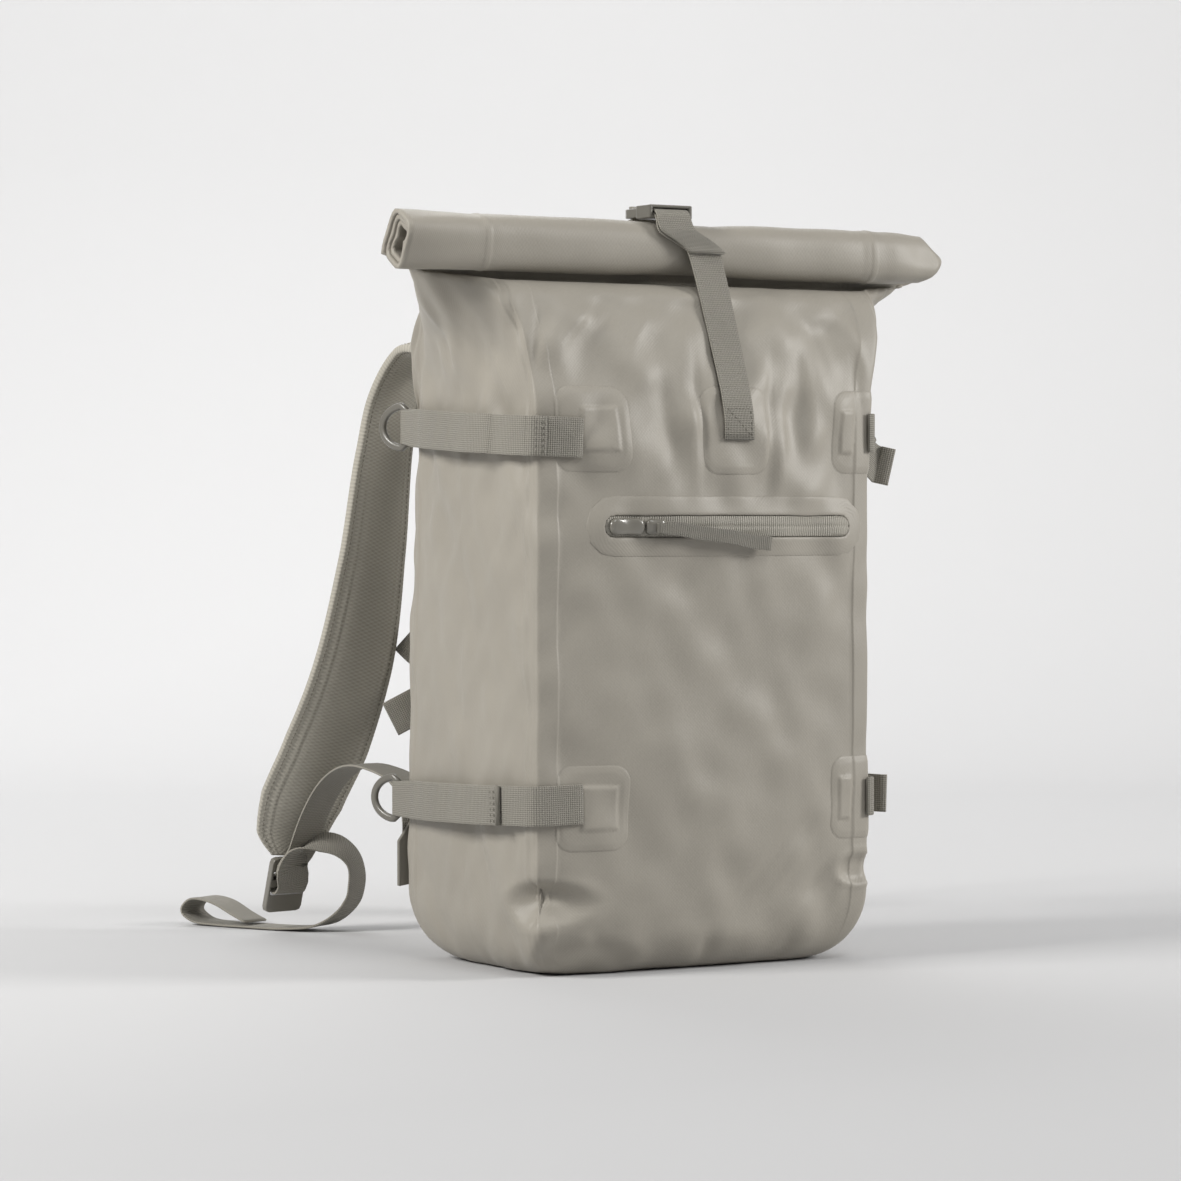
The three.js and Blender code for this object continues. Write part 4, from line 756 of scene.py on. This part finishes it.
def dress(obj, material, slot, *nodes):
    """Gives a piece its material and its body, and hides the CAD nodes it stands for. The slot is not used."""
    obj.data.materials.clear()
    obj.data.materials.append(material)
    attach(obj, "root")
    if nodes:
        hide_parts(*nodes)
    return obj


def keep(node, material, bevel):
    """A CAD node that stays, with rounded edges and its own material."""
    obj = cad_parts[node]
    obj.data.materials.clear()
    obj.data.materials.append(material)
    weld_points = obj.modifiers.new("weld", "WELD")
    weld_points.merge_threshold = 0.00002
    rounding = obj.modifiers.new("bevel", "BEVEL")
    rounding.width = bevel * MM
    rounding.segments = 3
    rounding.limit_method = "ANGLE"
    rounding.angle_limit = math.radians(30)
    rounding.harden_normals = False
    return obj


# The bag: one skin from the base to the inner end of the roll, and its inner face back again.
def spread(stops, counts):
    made = [np.linspace(a, b, n, endpoint=False) for a, b, n in zip(stops[:-1], stops[1:], counts)]
    return np.concatenate(made + [[stops[-1]]])


def build_bag():
    half = spread([0, 0.88, 0.9, 1, 1.12, 1.97, 2, 2.03, 2.79, 2.87, 3, 4], [40, 4, 12, 10, 30, 1, 1, 14, 6, 8, 10])
    columns = np.concatenate([-half[::-1][:-1], half[:-1]])
    roll_rows = round(ROLL_TURNS * 360 / ROLL_STEP)
    rows = spread([0, 1, 4, RIM_ROW, ROLL_ROW, ROLL_ROW + roll_rows], [16, 84, 48, 36, roll_rows * 3])
    inner_rows = rows[::-2]
    plain = inner_rows > RIM_ROW
    inner_rows = np.concatenate([inner_rows[plain], np.linspace(RIM_ROW, 0, 40)])
    outer = fabric(rows[:, None], columns[None, :])
    wall = mix(FABRIC_WALL, NECK_WALL, np.clip(inner_rows - RIM_ROW, 0, 1))
    inner = skin(inner_rows[:, None], columns[None, :], -wall[:, None])
    outer[0, :, 2] = 0
    inner[-1, :, 2] = FABRIC_WALL
    rings = np.concatenate([outer, inner])
    middle = np.abs(columns).argmin()
    run = run_along(outer[:, middle])
    v = np.concatenate([run, np.interp(inner_rows, rows, run)])
    u = np.concatenate([columns, [columns[0] + 8]]) * HALF_WIDTH
    obj = ring_mesh("bag_skin", rings, u, v)
    dress(obj, coated, "coated_fabric", "bag_body", "rolled_collar")


def rounded_grid(width, tall, radius, across, up):
    """A grid over a rectangle with round corners: offsets from its middle and the share from middle to edge."""
    s, t = np.meshgrid(across, up)
    r = np.maximum(np.maximum(np.abs(s), np.abs(t)), 1e-9)
    x, z = s / r * width / 2, t / r * tall / 2
    cx = np.clip(x, -width / 2 + radius, width / 2 - radius)
    cz = np.clip(z, -tall / 2 + radius, tall / 2 - radius)
    off = np.maximum(np.hypot(x - cx, z - cz), 1e-9)
    both = (np.abs(x - cx) > 1e-9) & (np.abs(z - cz) > 1e-9)
    x = np.where(both, cx + (x - cx) / off * radius, x)
    z = np.where(both, cz + (z - cz) / off * radius, z)
    return x * r, z * r, r


def grid_shares(count):
    return np.concatenate([[-1, -0.985, -0.96, -0.93], np.linspace(-0.88, 0.88, count), [0.93, 0.96, 0.985, 1]])


def welded_patch(name, node, middle, height, width, tall, radius, block=None, thick=0.7):
    """A welded patch with a soft edge; block is the raised rectangle on it: middle, width, height."""
    x, z, r = rounded_grid(width, tall, radius, grid_shares(44), grid_shares(44))
    lift = CLEARANCE * np.clip((1 - r) / 0.02, 0, 1) + thick * np.clip((1 - r) / 0.16, 0, 1)
    if block:
        bx, bw, bh = block
        gap = np.maximum(np.abs(x - bx) - bw / 2, np.abs(z) - bh / 2)
        lift = lift + 1.3 * np.clip(-gap / 2.2, 0, 1) ** 0.7
    row, around = row_at(height + z), around_at(middle + x)
    top, bottom = skin(row, around, lift), skin(row, around, np.full_like(lift, 0.1))
    obj = slab_mesh(name, top, bottom, middle + x, height + z)
    dress(obj, coated, "coated_fabric", node)


def outline_points(width, tall, radius, count):
    """A rectangle with round corners as count points, evenly spread."""
    w, t = width / 2 - radius, tall / 2 - radius
    line = []
    for cx, cz, start in ((w, t, 0), (-w, t, 90), (-w, -t, 180), (w, -t, 270)):
        for k in range(13):
            a = math.radians(start + k * 7.5)
            line.append((cx + radius * math.cos(a), cz + radius * math.sin(a)))
    line = np.array(line + line[:1])
    run = run_along(line)
    at = np.linspace(0, run[-1], count, endpoint=False)
    return np.stack([np.interp(at, run, line[:, 0]), np.interp(at, run, line[:, 1])], 1)


def pad(name, start, middle, height, outline, profile):
    """A lump that follows the skin: profile rows are the share of the outline and the height over the skin."""
    rings = [spot(start, middle + outline[:, 0] * s, height + outline[:, 1] * s, h) for s, h in profile]
    u = np.concatenate([outline[:, 0], outline[:1, 0]])
    return ring_mesh(name, np.array(rings), u, np.linspace(0, len(profile), len(profile)))


ON_PATCH = 2.6 * CLEARANCE + PATCH_THICK + WEB_HALF
TURN_RADIUS = BAR_RADIUS + 1.6 * CLEARANCE + WEB_HALF
BAR_AROUND, BAR_LIFT, RING_FLARE, SIDE_BOW = 2.92, 7, 20, 8
LAYER_GAP = WEB_THICK + 0.5
UP = (0.0, 0.0, 1.0)

INNER_LAYER = table(
    "around lift",
    (0.76, 0),
    (0.88, 0.02),
    (0.96, 0.02),
    (1, 0.12),
    (1.04, 0.2),
    (1.12, 0.3),
    (1.33, 0.7),
    (1.6, 1),
    (1.97, 1),
    (2.4, 0.7),
    (2.66, 0.3),
)
SIDE_STRAPS = (
    ("upper_left", -1, UPPER_STRAP, 0.76, 1, 0, 0, 9),
    ("lower_left", -1, LOWER_STRAP, 0.76, 1.33, 0, 0, -5),
    ("upper_right", 1, UPPER_STRAP, 0.96, 1.6, 30, 22, 0),
    ("lower_right", 1, LOWER_STRAP, 0.96, 1.6, 19, 1, 0),
)


# Below 1 a ring's section is squarer than a circle.
RING_SQUARE = 0.75


def ring_tube(name, bar, away):
    """A D ring: a straight bar along up and a bow that reaches out along away."""
    half = RING_TALL / 2
    line = [(0, s * half) for s in np.linspace(-0.8, 0.8, 7)]
    for a in np.radians(np.linspace(84, -84, 33)):
        line.append((RING_REACH * (0.1 + 0.9 * math.cos(a)), half * math.sin(a)))
    line = np.array(line)
    after, before = np.roll(line, -1, 0), np.roll(line, 1, 0)
    out = np.stack([after[:, 1] - before[:, 1], before[:, 0] - after[:, 0]], 1)
    out /= np.linalg.norm(out, axis=1, keepdims=True)
    inward = np.einsum("ij,ij->i", out, line - [RING_REACH * 0.4, 0]) < 0
    out[inward] *= -1
    up = np.array(UP)
    side = np.cross(away, up)
    bow = np.clip(line[:, 0] / 6, 0, 1)
    wide = mix(BAR_RADIUS, BOW_RADIUS, bow)
    rings = []
    for (u, v), (ou, ov), w in zip(line, out, wide):
        middle, direction = bar + away * u + up * v, away * ou + up * ov
        angles = np.radians(np.arange(0, 360, 24))
        c, s = (np.sign(wave) * np.abs(wave) ** RING_SQUARE for wave in (np.cos(angles), np.sin(angles)))
        rings.append([middle + direction * (w * a) + side * (BAR_RADIUS * b) for a, b in zip(c, s)])
    return ring_mesh(name, rings, np.linspace(0, 14, len(rings[0]) + 1), np.arange(len(rings)) * 2, joined=True)


def build_side_strap(name, side, height, start, end, flare, droop, slant):
    row = row_at(height)
    middle = RIGHT_PATCH if side > 0 else -LEFT_PATCH
    block = (-4 * side, 26, 29) if side < 0 else (-14, 12, 29)
    size = (SIDE_PATCH_WIDTH, SIDE_PATCH_TALL, PATCH_ROUND)
    welded_patch("patch_" + name, "side_patch_" + name, middle, height, *size, block=block)
    flare_angle = math.radians(RING_FLARE)
    out = np.array([side * math.cos(flare_angle), -math.sin(flare_angle), 0])
    away = np.array([side * math.sin(flare_angle), math.cos(flare_angle), 0])
    bar = skin(row, side * BAR_AROUND, BAR_LIFT)
    bar[2] = height + slant / 2 * (BAR_AROUND - 2)
    stops = []

    def lay(around, lift, drop=0.0):
        p = skin(row, side * around, lift)
        p[2] = height + slant / 2 * (around - 2) - drop
        stops.append(stop(p, UP))

    def inner_lift(around):
        return ON_PATCH + SIDE_BOW * lookup(INNER_LAYER, "around", "lift", around)

    arounds = INNER_LAYER["around"]
    fine = spread(arounds[arounds >= start], [2] * (np.sum(arounds >= start) - 1))
    for around in fine:
        lay(around, inner_lift(around))
    for angle in np.radians([-90, -60, -30, 0, 30, 60, 90]):
        p = bar + away * TURN_RADIUS * math.cos(angle) + out * TURN_RADIUS * math.sin(angle)
        stops.append(stop(p, UP, WRAP_WIDTH))
    for around in fine[fine > end + 0.01][::-1]:
        lay(around, inner_lift(around) + LAYER_GAP + (around - end) * 0.9)
    end_lift = inner_lift(end) + LAYER_GAP
    lay(end, end_lift)
    if flare:
        for share in (0.35, 0.7, 0.8, 0.82, 1):
            lay(end - 0.26 * share, end_lift + flare * share, droop * math.sqrt(share))
            if share > 0.8:
                stops[-1][7] = 2 * WEB_THICK
    else:
        stops[-1][7] = 2 * WEB_THICK
        lay(end - 0.05, end_lift + WEB_HALF)
        stops[-1][7] = 2 * WEB_THICK
    dress(band("strap_" + name, np.array(stops)), webbing, "webbing", "side_strap_" + name)
    at, _ = over_band(np.array(stops))
    stitches("strap_stitches_" + name, at, [((r, -0.88), (r, 0.88)) for r in (-1.8, -3.4, -7.5)], -side * 1.08)
    dress(ring_tube("ring_" + name, bar, away), moulded, "moulded", "d_ring_" + name)


def build_zip():
    count = 96
    window = outline_points(ZIP_LENGTH, ZIP_TALL, ZIP_TALL / 2 - 0.01, count)
    width, tall = ZIP_LENGTH + 2 * ZIP_BORDER, ZIP_TALL + 2 * ZIP_BORDER
    border = outline_points(width, tall, tall / 2 - 0.01, 4000)
    nearest = [np.argmin(np.hypot(*(border - p - (p - [np.clip(p[0], -87, 87), 0]) * 2.1).T)) for p in window]
    border = border[nearest]
    profile = [(0, 0.1), (1, 0.05), (1, 0.1), (0.97, 0.25), (0.88, 0.5), (0.75, 0.75), (0.55, 1.05), (0.35, 1.4)]
    profile += [(0.2, 1.7), (0.08, 1.8), (0.02, 1.6), (0, 1.2)]
    rings = []
    for share, lift in profile:
        line = mix(window, border, share)
        rings.append(spot(0, ZIP_X + line[:, 0], ZIP_HEIGHT + line[:, 1], lift))
    u = np.concatenate([window[:, 0], window[:1, 0]])
    v = [s * ZIP_BORDER for s, _ in profile]
    dress(ring_mesh("pocket_patch", np.array(rings), u, v, joined=True), coated, "coated_fabric", "zip_patch")

    coil = (ZIP_LENGTH - 0.6, ZIP_TALL - 1, (ZIP_TALL - 1) / 2 - 0.01)
    x, z, _ = rounded_grid(*coil, np.linspace(-1, 1, 121), np.linspace(-1, 1, 17))
    groove = 0.55 * np.exp(-((z / 0.8) ** 2))
    lift = 0.9 + 0.55 * np.clip((1 - np.abs(z) / (ZIP_TALL / 2)) / 0.6, 0, 1) - groove
    top = spot(0, ZIP_X + x, ZIP_HEIGHT + z, lift)
    bottom = spot(0, ZIP_X + x, ZIP_HEIGHT + z, np.full_like(lift, 0.1))
    dress(slab_mesh("zip_coil", top, bottom, x, z), zip_cloth, "webbing", "zip_tape")

    seat = 2 * CLEARANCE + ZIP_TAPE
    garage_x = ZIP_X - ZIP_LENGTH / 2 + GARAGE_LENGTH / 2 + 3
    outline = outline_points(GARAGE_LENGTH, ZIP_TALL * 0.8, ZIP_TALL * 0.38, 48)
    lump = [(0.3, seat - 0.4), (1, seat - 0.4), (1, seat + 1), (0.97, seat + 1.9), (0.9, seat + 2.6), (0.75, seat + 3)]
    garage = pad("garage", 0, garage_x, ZIP_HEIGHT, outline, lump + [(0.4, seat + 3.2)])
    dress(garage, glossy, "garage", "zip_garage")
    slider_x = garage_x + GARAGE_LENGTH / 2 + CLEARANCE + SLIDER_LENGTH / 2 + 0.5
    outline = outline_points(SLIDER_LENGTH, ZIP_TALL * 0.7, 2.5, 40)
    lump = [(0.3, seat), (1, seat), (1, seat + 1.4), (0.93, seat + 2.2), (0.75, seat + 2.6), (0.55, seat + 3.4)]
    slider = pad("slider", 0, slider_x, ZIP_HEIGHT, outline, lump + [(0.3, seat + 3.6)])
    dress(slider, glossy, "garage", "zip_slider")
    stops = []
    for share in np.linspace(0, 1, 25):
        x, z = slider_x + PULL_LENGTH * share, ZIP_HEIGHT - 11 * share
        lift = seat + 3.6 + CLEARANCE + PULL_THICK / 2 + 1.5 * math.sin(math.pi * share)
        width = PULL_WIDTH * (0.75 if share < 0.05 else 1)
        stops.append(stop(spot(0, x, z, lift), UP, width, PULL_THICK * (1.25 if share < 0.2 else 1)))
    dress(band("pull", np.array(stops), 1), webbing, "webbing", "zip_pull")


# Angle round the roll, x, lift and width.
OVER_FRONT = ((186, 14, 1.2, 24), (176, 11, 0, 27), (165, 5, 0, 28), (153, -2, 0, 28), (141, -7.5, 0, 26))
OVER_TAIL = ((141, -7.5, 2.5, 26), (153, -2, 2.5, 28), (165, 5, 2.8, 28), (176, 10.5, 3.2, 28), (186, 13.5, 4.4, 27))
REAR_RISE = ((0.96, 9), (0.915, 7), (0.865, 7))


def build_closure():
    on_roll = CLEARANCE + WEB_HALF
    buckle_y = ROLL_LEAN - BUCKLE_FORWARD
    buckle_z = NECK_HEIGHT + ROLL_LIFT + ROLL_TALL / 2 + CLEARANCE + BUCKLE_THICK / 2
    hook_y = buckle_y + BUCKLE_LENGTH + CLEARANCE
    forward = (1.0, 0.0, 0.0)
    keep("buckle_frame", moulded, 1.2)
    keep("buckle_hook", moulded, 1.0)
    low = CLOSURE_HEIGHT - 6
    rises = (0, 12, 24, 34)
    stops = [stop(spot(0, CLOSURE_X, low + rise, ON_PATCH), forward, CLOSURE_WIDTH) for rise in rises]

    def on(angle, x, lift, width):
        y, z = over_roll(angle, x, on_roll + lift)
        stops.append(stop((x, y, z), forward, width))

    for place in OVER_FRONT:
        on(*place)
    mouth = -BUCKLE_LENGTH / 2
    inside = [(mouth - 1.2, -FOLD_RADIUS), (2, -FOLD_RADIUS), (2 + FOLD_RADIUS, 0), (2, FOLD_RADIUS)]
    for v, w in inside + [(mouth - 2, FOLD_RADIUS)]:
        stops.append(stop((BUCKLE_X, buckle_y + v, buckle_z + w), forward))
    for place in OVER_TAIL:
        on(*place)
    stops[-1][7] = 1.8 * WEB_THICK
    dress(band("front_strap", np.array(stops), sheared=True), webbing, "webbing", "closure_strap")
    at, _ = over_band(np.array(stops), sheared=True)
    low, high, side = 2.5, 20, 0.8
    lines = [((low, -side), (low, side)), ((high, -side), (high, side)), ((high, -side), (low, side))]
    lines += [((low, -side), (high, -side)), ((low, side), (high, side)), ((-2.5, -0.9), (-2.5, 0.9))]
    stitches("closure_stitches", at, lines, -1.08)

    slot_side = -SLOT_TALL / 2 + 2.4 * CLEARANCE + WEB_HALF
    hook_layer = HOOK_THICK / 2 + CLEARANCE + WEB_HALF
    wrap = [(BAR_LENGTH, hook_layer), (-slot_side + 1.2, hook_layer), (-slot_side, hook_layer - 1.4)]
    wrap += [(-slot_side, -hook_layer + 1.4), (-slot_side + 1.2, -hook_layer), (BUCKLE_LENGTH / 2 + 3, -hook_layer - 1)]
    rear = [stop((BUCKLE_X, hook_y + v, buckle_z + w), forward) for v, w in wrap]
    face = 2 * CLEARANCE + PANEL_THICK + WEB_HALF
    top = PANEL_MIDDLE + PANEL_TALL / 2
    places = [(up * NECK_HEIGHT, lift) for up, lift in REAR_RISE] + [(top + 14, CLEARANCE + WEB_HALF + 6)]
    places += [(top - 2, face + 1), (top - 14, face), (top - 34, face)]
    rear += [stop(spot(4, -BUCKLE_X, height, lift), forward) for height, lift in places]
    dress(band("rear_strap", np.array(rear)), webbing, "webbing", "closure_strap_rear")


STRAP_STOPS = (
    (-52, 105, 300, 52, 8, 0),
    (-52, 106, 345, 52, 10, 0),
    (-55, 115, 380, 50, 12, 6),
    (-64, 136, 400, 54, 13, 14),
    (-70, 165, 402, 54, 13, 24),
    (-77, 188, 376, 55, 13, 25),
    (-81, 198, 336, 56, 13, 22),
    (-88, 203, 262, 58, 13, 14),
    (-98, 211, 190, 61, 13, 2),
    (-108, 233, 132, 63, 13, -8),
    (-118, 252, 92, 61, 13, -10),
    (-121, 262, 68, 52, 10, -6),
    (-121.5, 263.8, 53.6, 28, 6, 0),
)
ARCH_STOPS = (
    (-113, 91.5, 74, 1, 0, 0),
    (-112, 91.9, 88, 1, 0, 0),
    (-108, 112, 110, 1, 0, 0),
    (-107, 150, 119, 1, 0.1, 0),
    (-108, 188, 120, 1, 0.2, 0),
    (-110, 218, 108, 1, 0.2, 0),
    (-113, 241, 84, 1, 0.2, 0),
    (-117, 254, 56, 1, 0.2, 0),
)
TAIL_STOPS = (
    (-126, 252, 45, 1, 0.2, 0),
    (-122, 248, 57, 0.9, 0.4, 0.2),
    (-111, 243, 63, 0.8, 0.7, 0.5),
    (-97, 238, 61, 0.8, 0.8, 0.5),
    (-86, 236, 51, 0.9, 0.8, 0.3),
    (-82, 238, 36, 1, 0.7, 0),
    (-83, 243, 21, 0.9, 0.8, -0.3),
    (-92, 250, 9, 0.7, 0.9, -0.3),
    (-104, 260, 3, 0.6, 0.9, -0.06),
    (-118, 280, 1.2, 0.8, 0.6, 0),
    (-130, 302, 1.2, 0.9, 0.5, 0),
    (-141, 325, 1.2, 0.9, 0.4, 0),
    (-151, 343, 3, 0.9, 0.4, 0),
    (-156, 350, 10, 0.9, 0.4, 0),
    (-152, 345, 18, 0.9, 0.4, 0),
    (-143, 330, 17, 0.9, 0.4, 0),
    (-135, 312, 9, 0.9, 0.5, 0),
    (-130, 301, 4.4, 0.9, 0.5, 0),
)
# The shoulder strap's section: shares of its half width and of its half thickness.
STRAP_EDGE = [
    (-1, 0.12), (-0.99, 0.34), (-0.96, 0.42), (-0.8, 0.44), (-0.77, 0.5), (-0.72, 0.62), (-0.66, 0.72),
    (-0.63, 0.68), (-0.6, 0.74), (-0.45, 0.9), (-0.2, 0.98),
]
STRAP_HALF = STRAP_EDGE + [(0, 1)] + [(-u, t) for u, t in reversed(STRAP_EDGE)]


def build_carrier(name, side):
    flip = np.array([-side, 1, 1])

    def mirror(p):
        return np.array(p, float) * flip

    stops = []
    for x, y, z, width, thick, turn in STRAP_STOPS:
        across = mirror((math.cos(math.radians(turn)), math.sin(math.radians(turn)), 0))
        stops.append(stop(mirror((x, y, z)), across, width, thick))
    line = smooth_line(np.array(stops), 150)
    strap = band("carrier_" + name, line, 0, STRAP_HALF)
    dress(strap, padding, "padding", "shoulder_strap_" + name)
    at, long = over_band(line, 0)
    for face, lift in (("near", 0.48), ("far", -0.48)):
        lines = [((4, share), (long - 4, share)) for share in (-0.87, 0.87)]
        stitches("carrier_stitches_" + face + "_" + name, at, lines, lift)

    keep("adjuster_" + name, glossy, 1.5)
    down = mirror((-0.08, 0.26, -0.96))
    across = unit(np.array([1, -0.17 * side, 0]))
    out = unit(np.cross(across, unit(down)))
    square = np.cross(out, across)
    middle = mirror((-122.5, 268.5, 33))
    to_bag = 1 if out[1] < 0 else -1
    face = ADJUSTER_THICK / 2 + CLEARANCE + WEB_HALF + 0.3
    threaded = [(-16, face), (-9.4, face - 0.4), (-7.4, 0), (-5.2, -face), (2.2, -face), (4.2, 0), (5.4, face)]
    threaded += [(3.4, face + 3), (-4, face + 5)]
    through = [stop(middle + square * v + out * to_bag * w, across * side) for v, w in threaded]

    def laid(rows, steps):
        made = []
        for x, y, z, ax, ay, az in rows:
            made.append(stop(mirror((x, y, z)), unit(-mirror((ax, ay, az)))))
        return smooth_line(np.array(made), steps)

    whole = np.concatenate([laid(ARCH_STOPS, 18), np.array(through), laid(TAIL_STOPS, 60)])
    dress(band("lower_web_" + name, whole, 1), webbing, "webbing", "lower_webbing_" + name)


def build_back():
    outline = outline_points(PANEL_WIDTH, PANEL_TALL, 26, 120)
    profile = [(0.3, CLEARANCE), (0.97, CLEARANCE), (0.995, 1.2), (1, 3), (0.99, 4), (0.965, 4.4), (0.955, 4)]
    profile += [(0.945, 5), (0.92, 7.2), (0.88, 8.8), (0.8, 9.8), (0.6, 10), (0.3, 10)]
    panel = pad("back_pad", 4, 0, PANEL_MIDDLE, outline, profile)
    dress(panel, padding, "padding", "back_panel")
    for name, side in (("left", 1), ("right", -1)):
        stops = [stop((side * x, y, z), UP) for x, y, z in ((-60, 206, 207), (-50, 196, 194), (-23.1, 189, 179))]
        dress(band("sternum_" + name, np.array(stops)), webbing, "webbing", "sternum_strap_" + name)
        keep("corner_wing_" + name, webbing, 0.8)
    stops = [stop(p, UP) for p in ((-21.5, 187, 175), (-46, 190.6, 166), (-76, 199, 150))]
    stops[-1][7] = 2 * WEB_THICK
    dress(band("sternum_end", np.array(stops)), webbing, "webbing", "sternum_tail")
    keep("sternum_buckle", moulded, 1.2)


build_bag()
welded_patch("patch_front", "closure_patch", CLOSURE_X, CLOSURE_HEIGHT, 50, CLOSURE_PATCH_TALL, PATCH_ROUND)
for row in SIDE_STRAPS:
    build_side_strap(*row)
build_zip()
build_closure()
build_carrier("left", -1)
build_carrier("right", 1)
build_back()


# Floor, backdrop and light
def paper():
    """Pale paper with painted shade: a little darker in front than behind, so the floor is painted darker than the
    backdrop.
    """
    made, nodes, links, shader = new_material("paper", 0.9)
    place = nodes.new("ShaderNodeTexCoord")
    split = nodes.new("ShaderNodeSeparateXYZ")
    links.new(place.outputs["Object"], split.inputs["Vector"])
    stretch = nodes.new("ShaderNodeMapRange")
    stretch.inputs["From Min"].default_value = -0.5
    stretch.inputs["From Max"].default_value = 2.0
    links.new(split.outputs["Y"], stretch.inputs["Value"])
    # Painted shade: the ramp runs from darker paper in front to lighter paper behind.
    ramp = nodes.new("ShaderNodeValToRGB")
    ramp.color_ramp.elements[0].color = (0.46, 0.46, 0.465, 1)
    ramp.color_ramp.elements[1].color = (0.76, 0.76, 0.765, 1)
    links.new(stretch.outputs["Result"], ramp.inputs["Fac"])
    links.new(ramp.outputs["Color"], shader.inputs["Base Color"])
    return made


def build_stage():
    line = [(-6, 0), (1.6, 0)] + [(1.6 + 0.8 * math.sin(a), 0.8 - 0.8 * math.cos(a)) for a in np.linspace(0.1, 1.5, 14)]
    line += [(2.4, 0.9), (2.4, 5)]
    across, back = Vector((0.857, -0.515, 0)), Vector((0.515, 0.857, 0))
    points = [back * d + across * s + Vector((0, 0, h - 0.0003)) for d, h in line for s in (-7, 7)]
    faces = [(2 * k, 2 * k + 1, 2 * k + 3, 2 * k + 2) for k in range(len(line) - 1)]
    mesh = bpy.data.meshes.new("floor")
    mesh.from_pydata([p[:] for p in points], [], faces)
    mesh.polygons.foreach_set("use_smooth", [True] * len(faces))
    obj = add_object("floor", mesh)
    mesh.materials.append(paper())


LIGHTS_AIM = Vector((0, 0.05, 0.2))


def area_light(name, at, size, energy, colour):
    data = bpy.data.lights.new(name, "AREA")
    data.size = size
    data.energy = energy
    data.color = colour
    obj = add_object(name, data)
    obj.location = at
    obj.rotation_euler = (LIGHTS_AIM - Vector(at)).to_track_quat("-Z", "Y").to_euler()


build_stage()
area_light("key", (-2.4, 0.1, 1.6), 0.9, 70, (1, 0.985, 0.96))
area_light("fill", (-0.2, -1.9, 2.7), 1.2, 24, (0.98, 0.99, 1))
area_light("right", (2.3, -1.6, 1.3), 0.9, 64, (1, 0.985, 0.965))
area_light("back", (0.6, 2.0, 2.2), 1.8, 25, (1, 1, 1))
world = bpy.data.worlds.new("studio")
world.use_nodes = True
world.node_tree.nodes["Background"].inputs["Color"].default_value = (0.93, 0.94, 0.95, 1)
world.node_tree.nodes["Background"].inputs["Strength"].default_value = 0.25
scene.world = world
scene.view_settings.view_transform = "Standard"
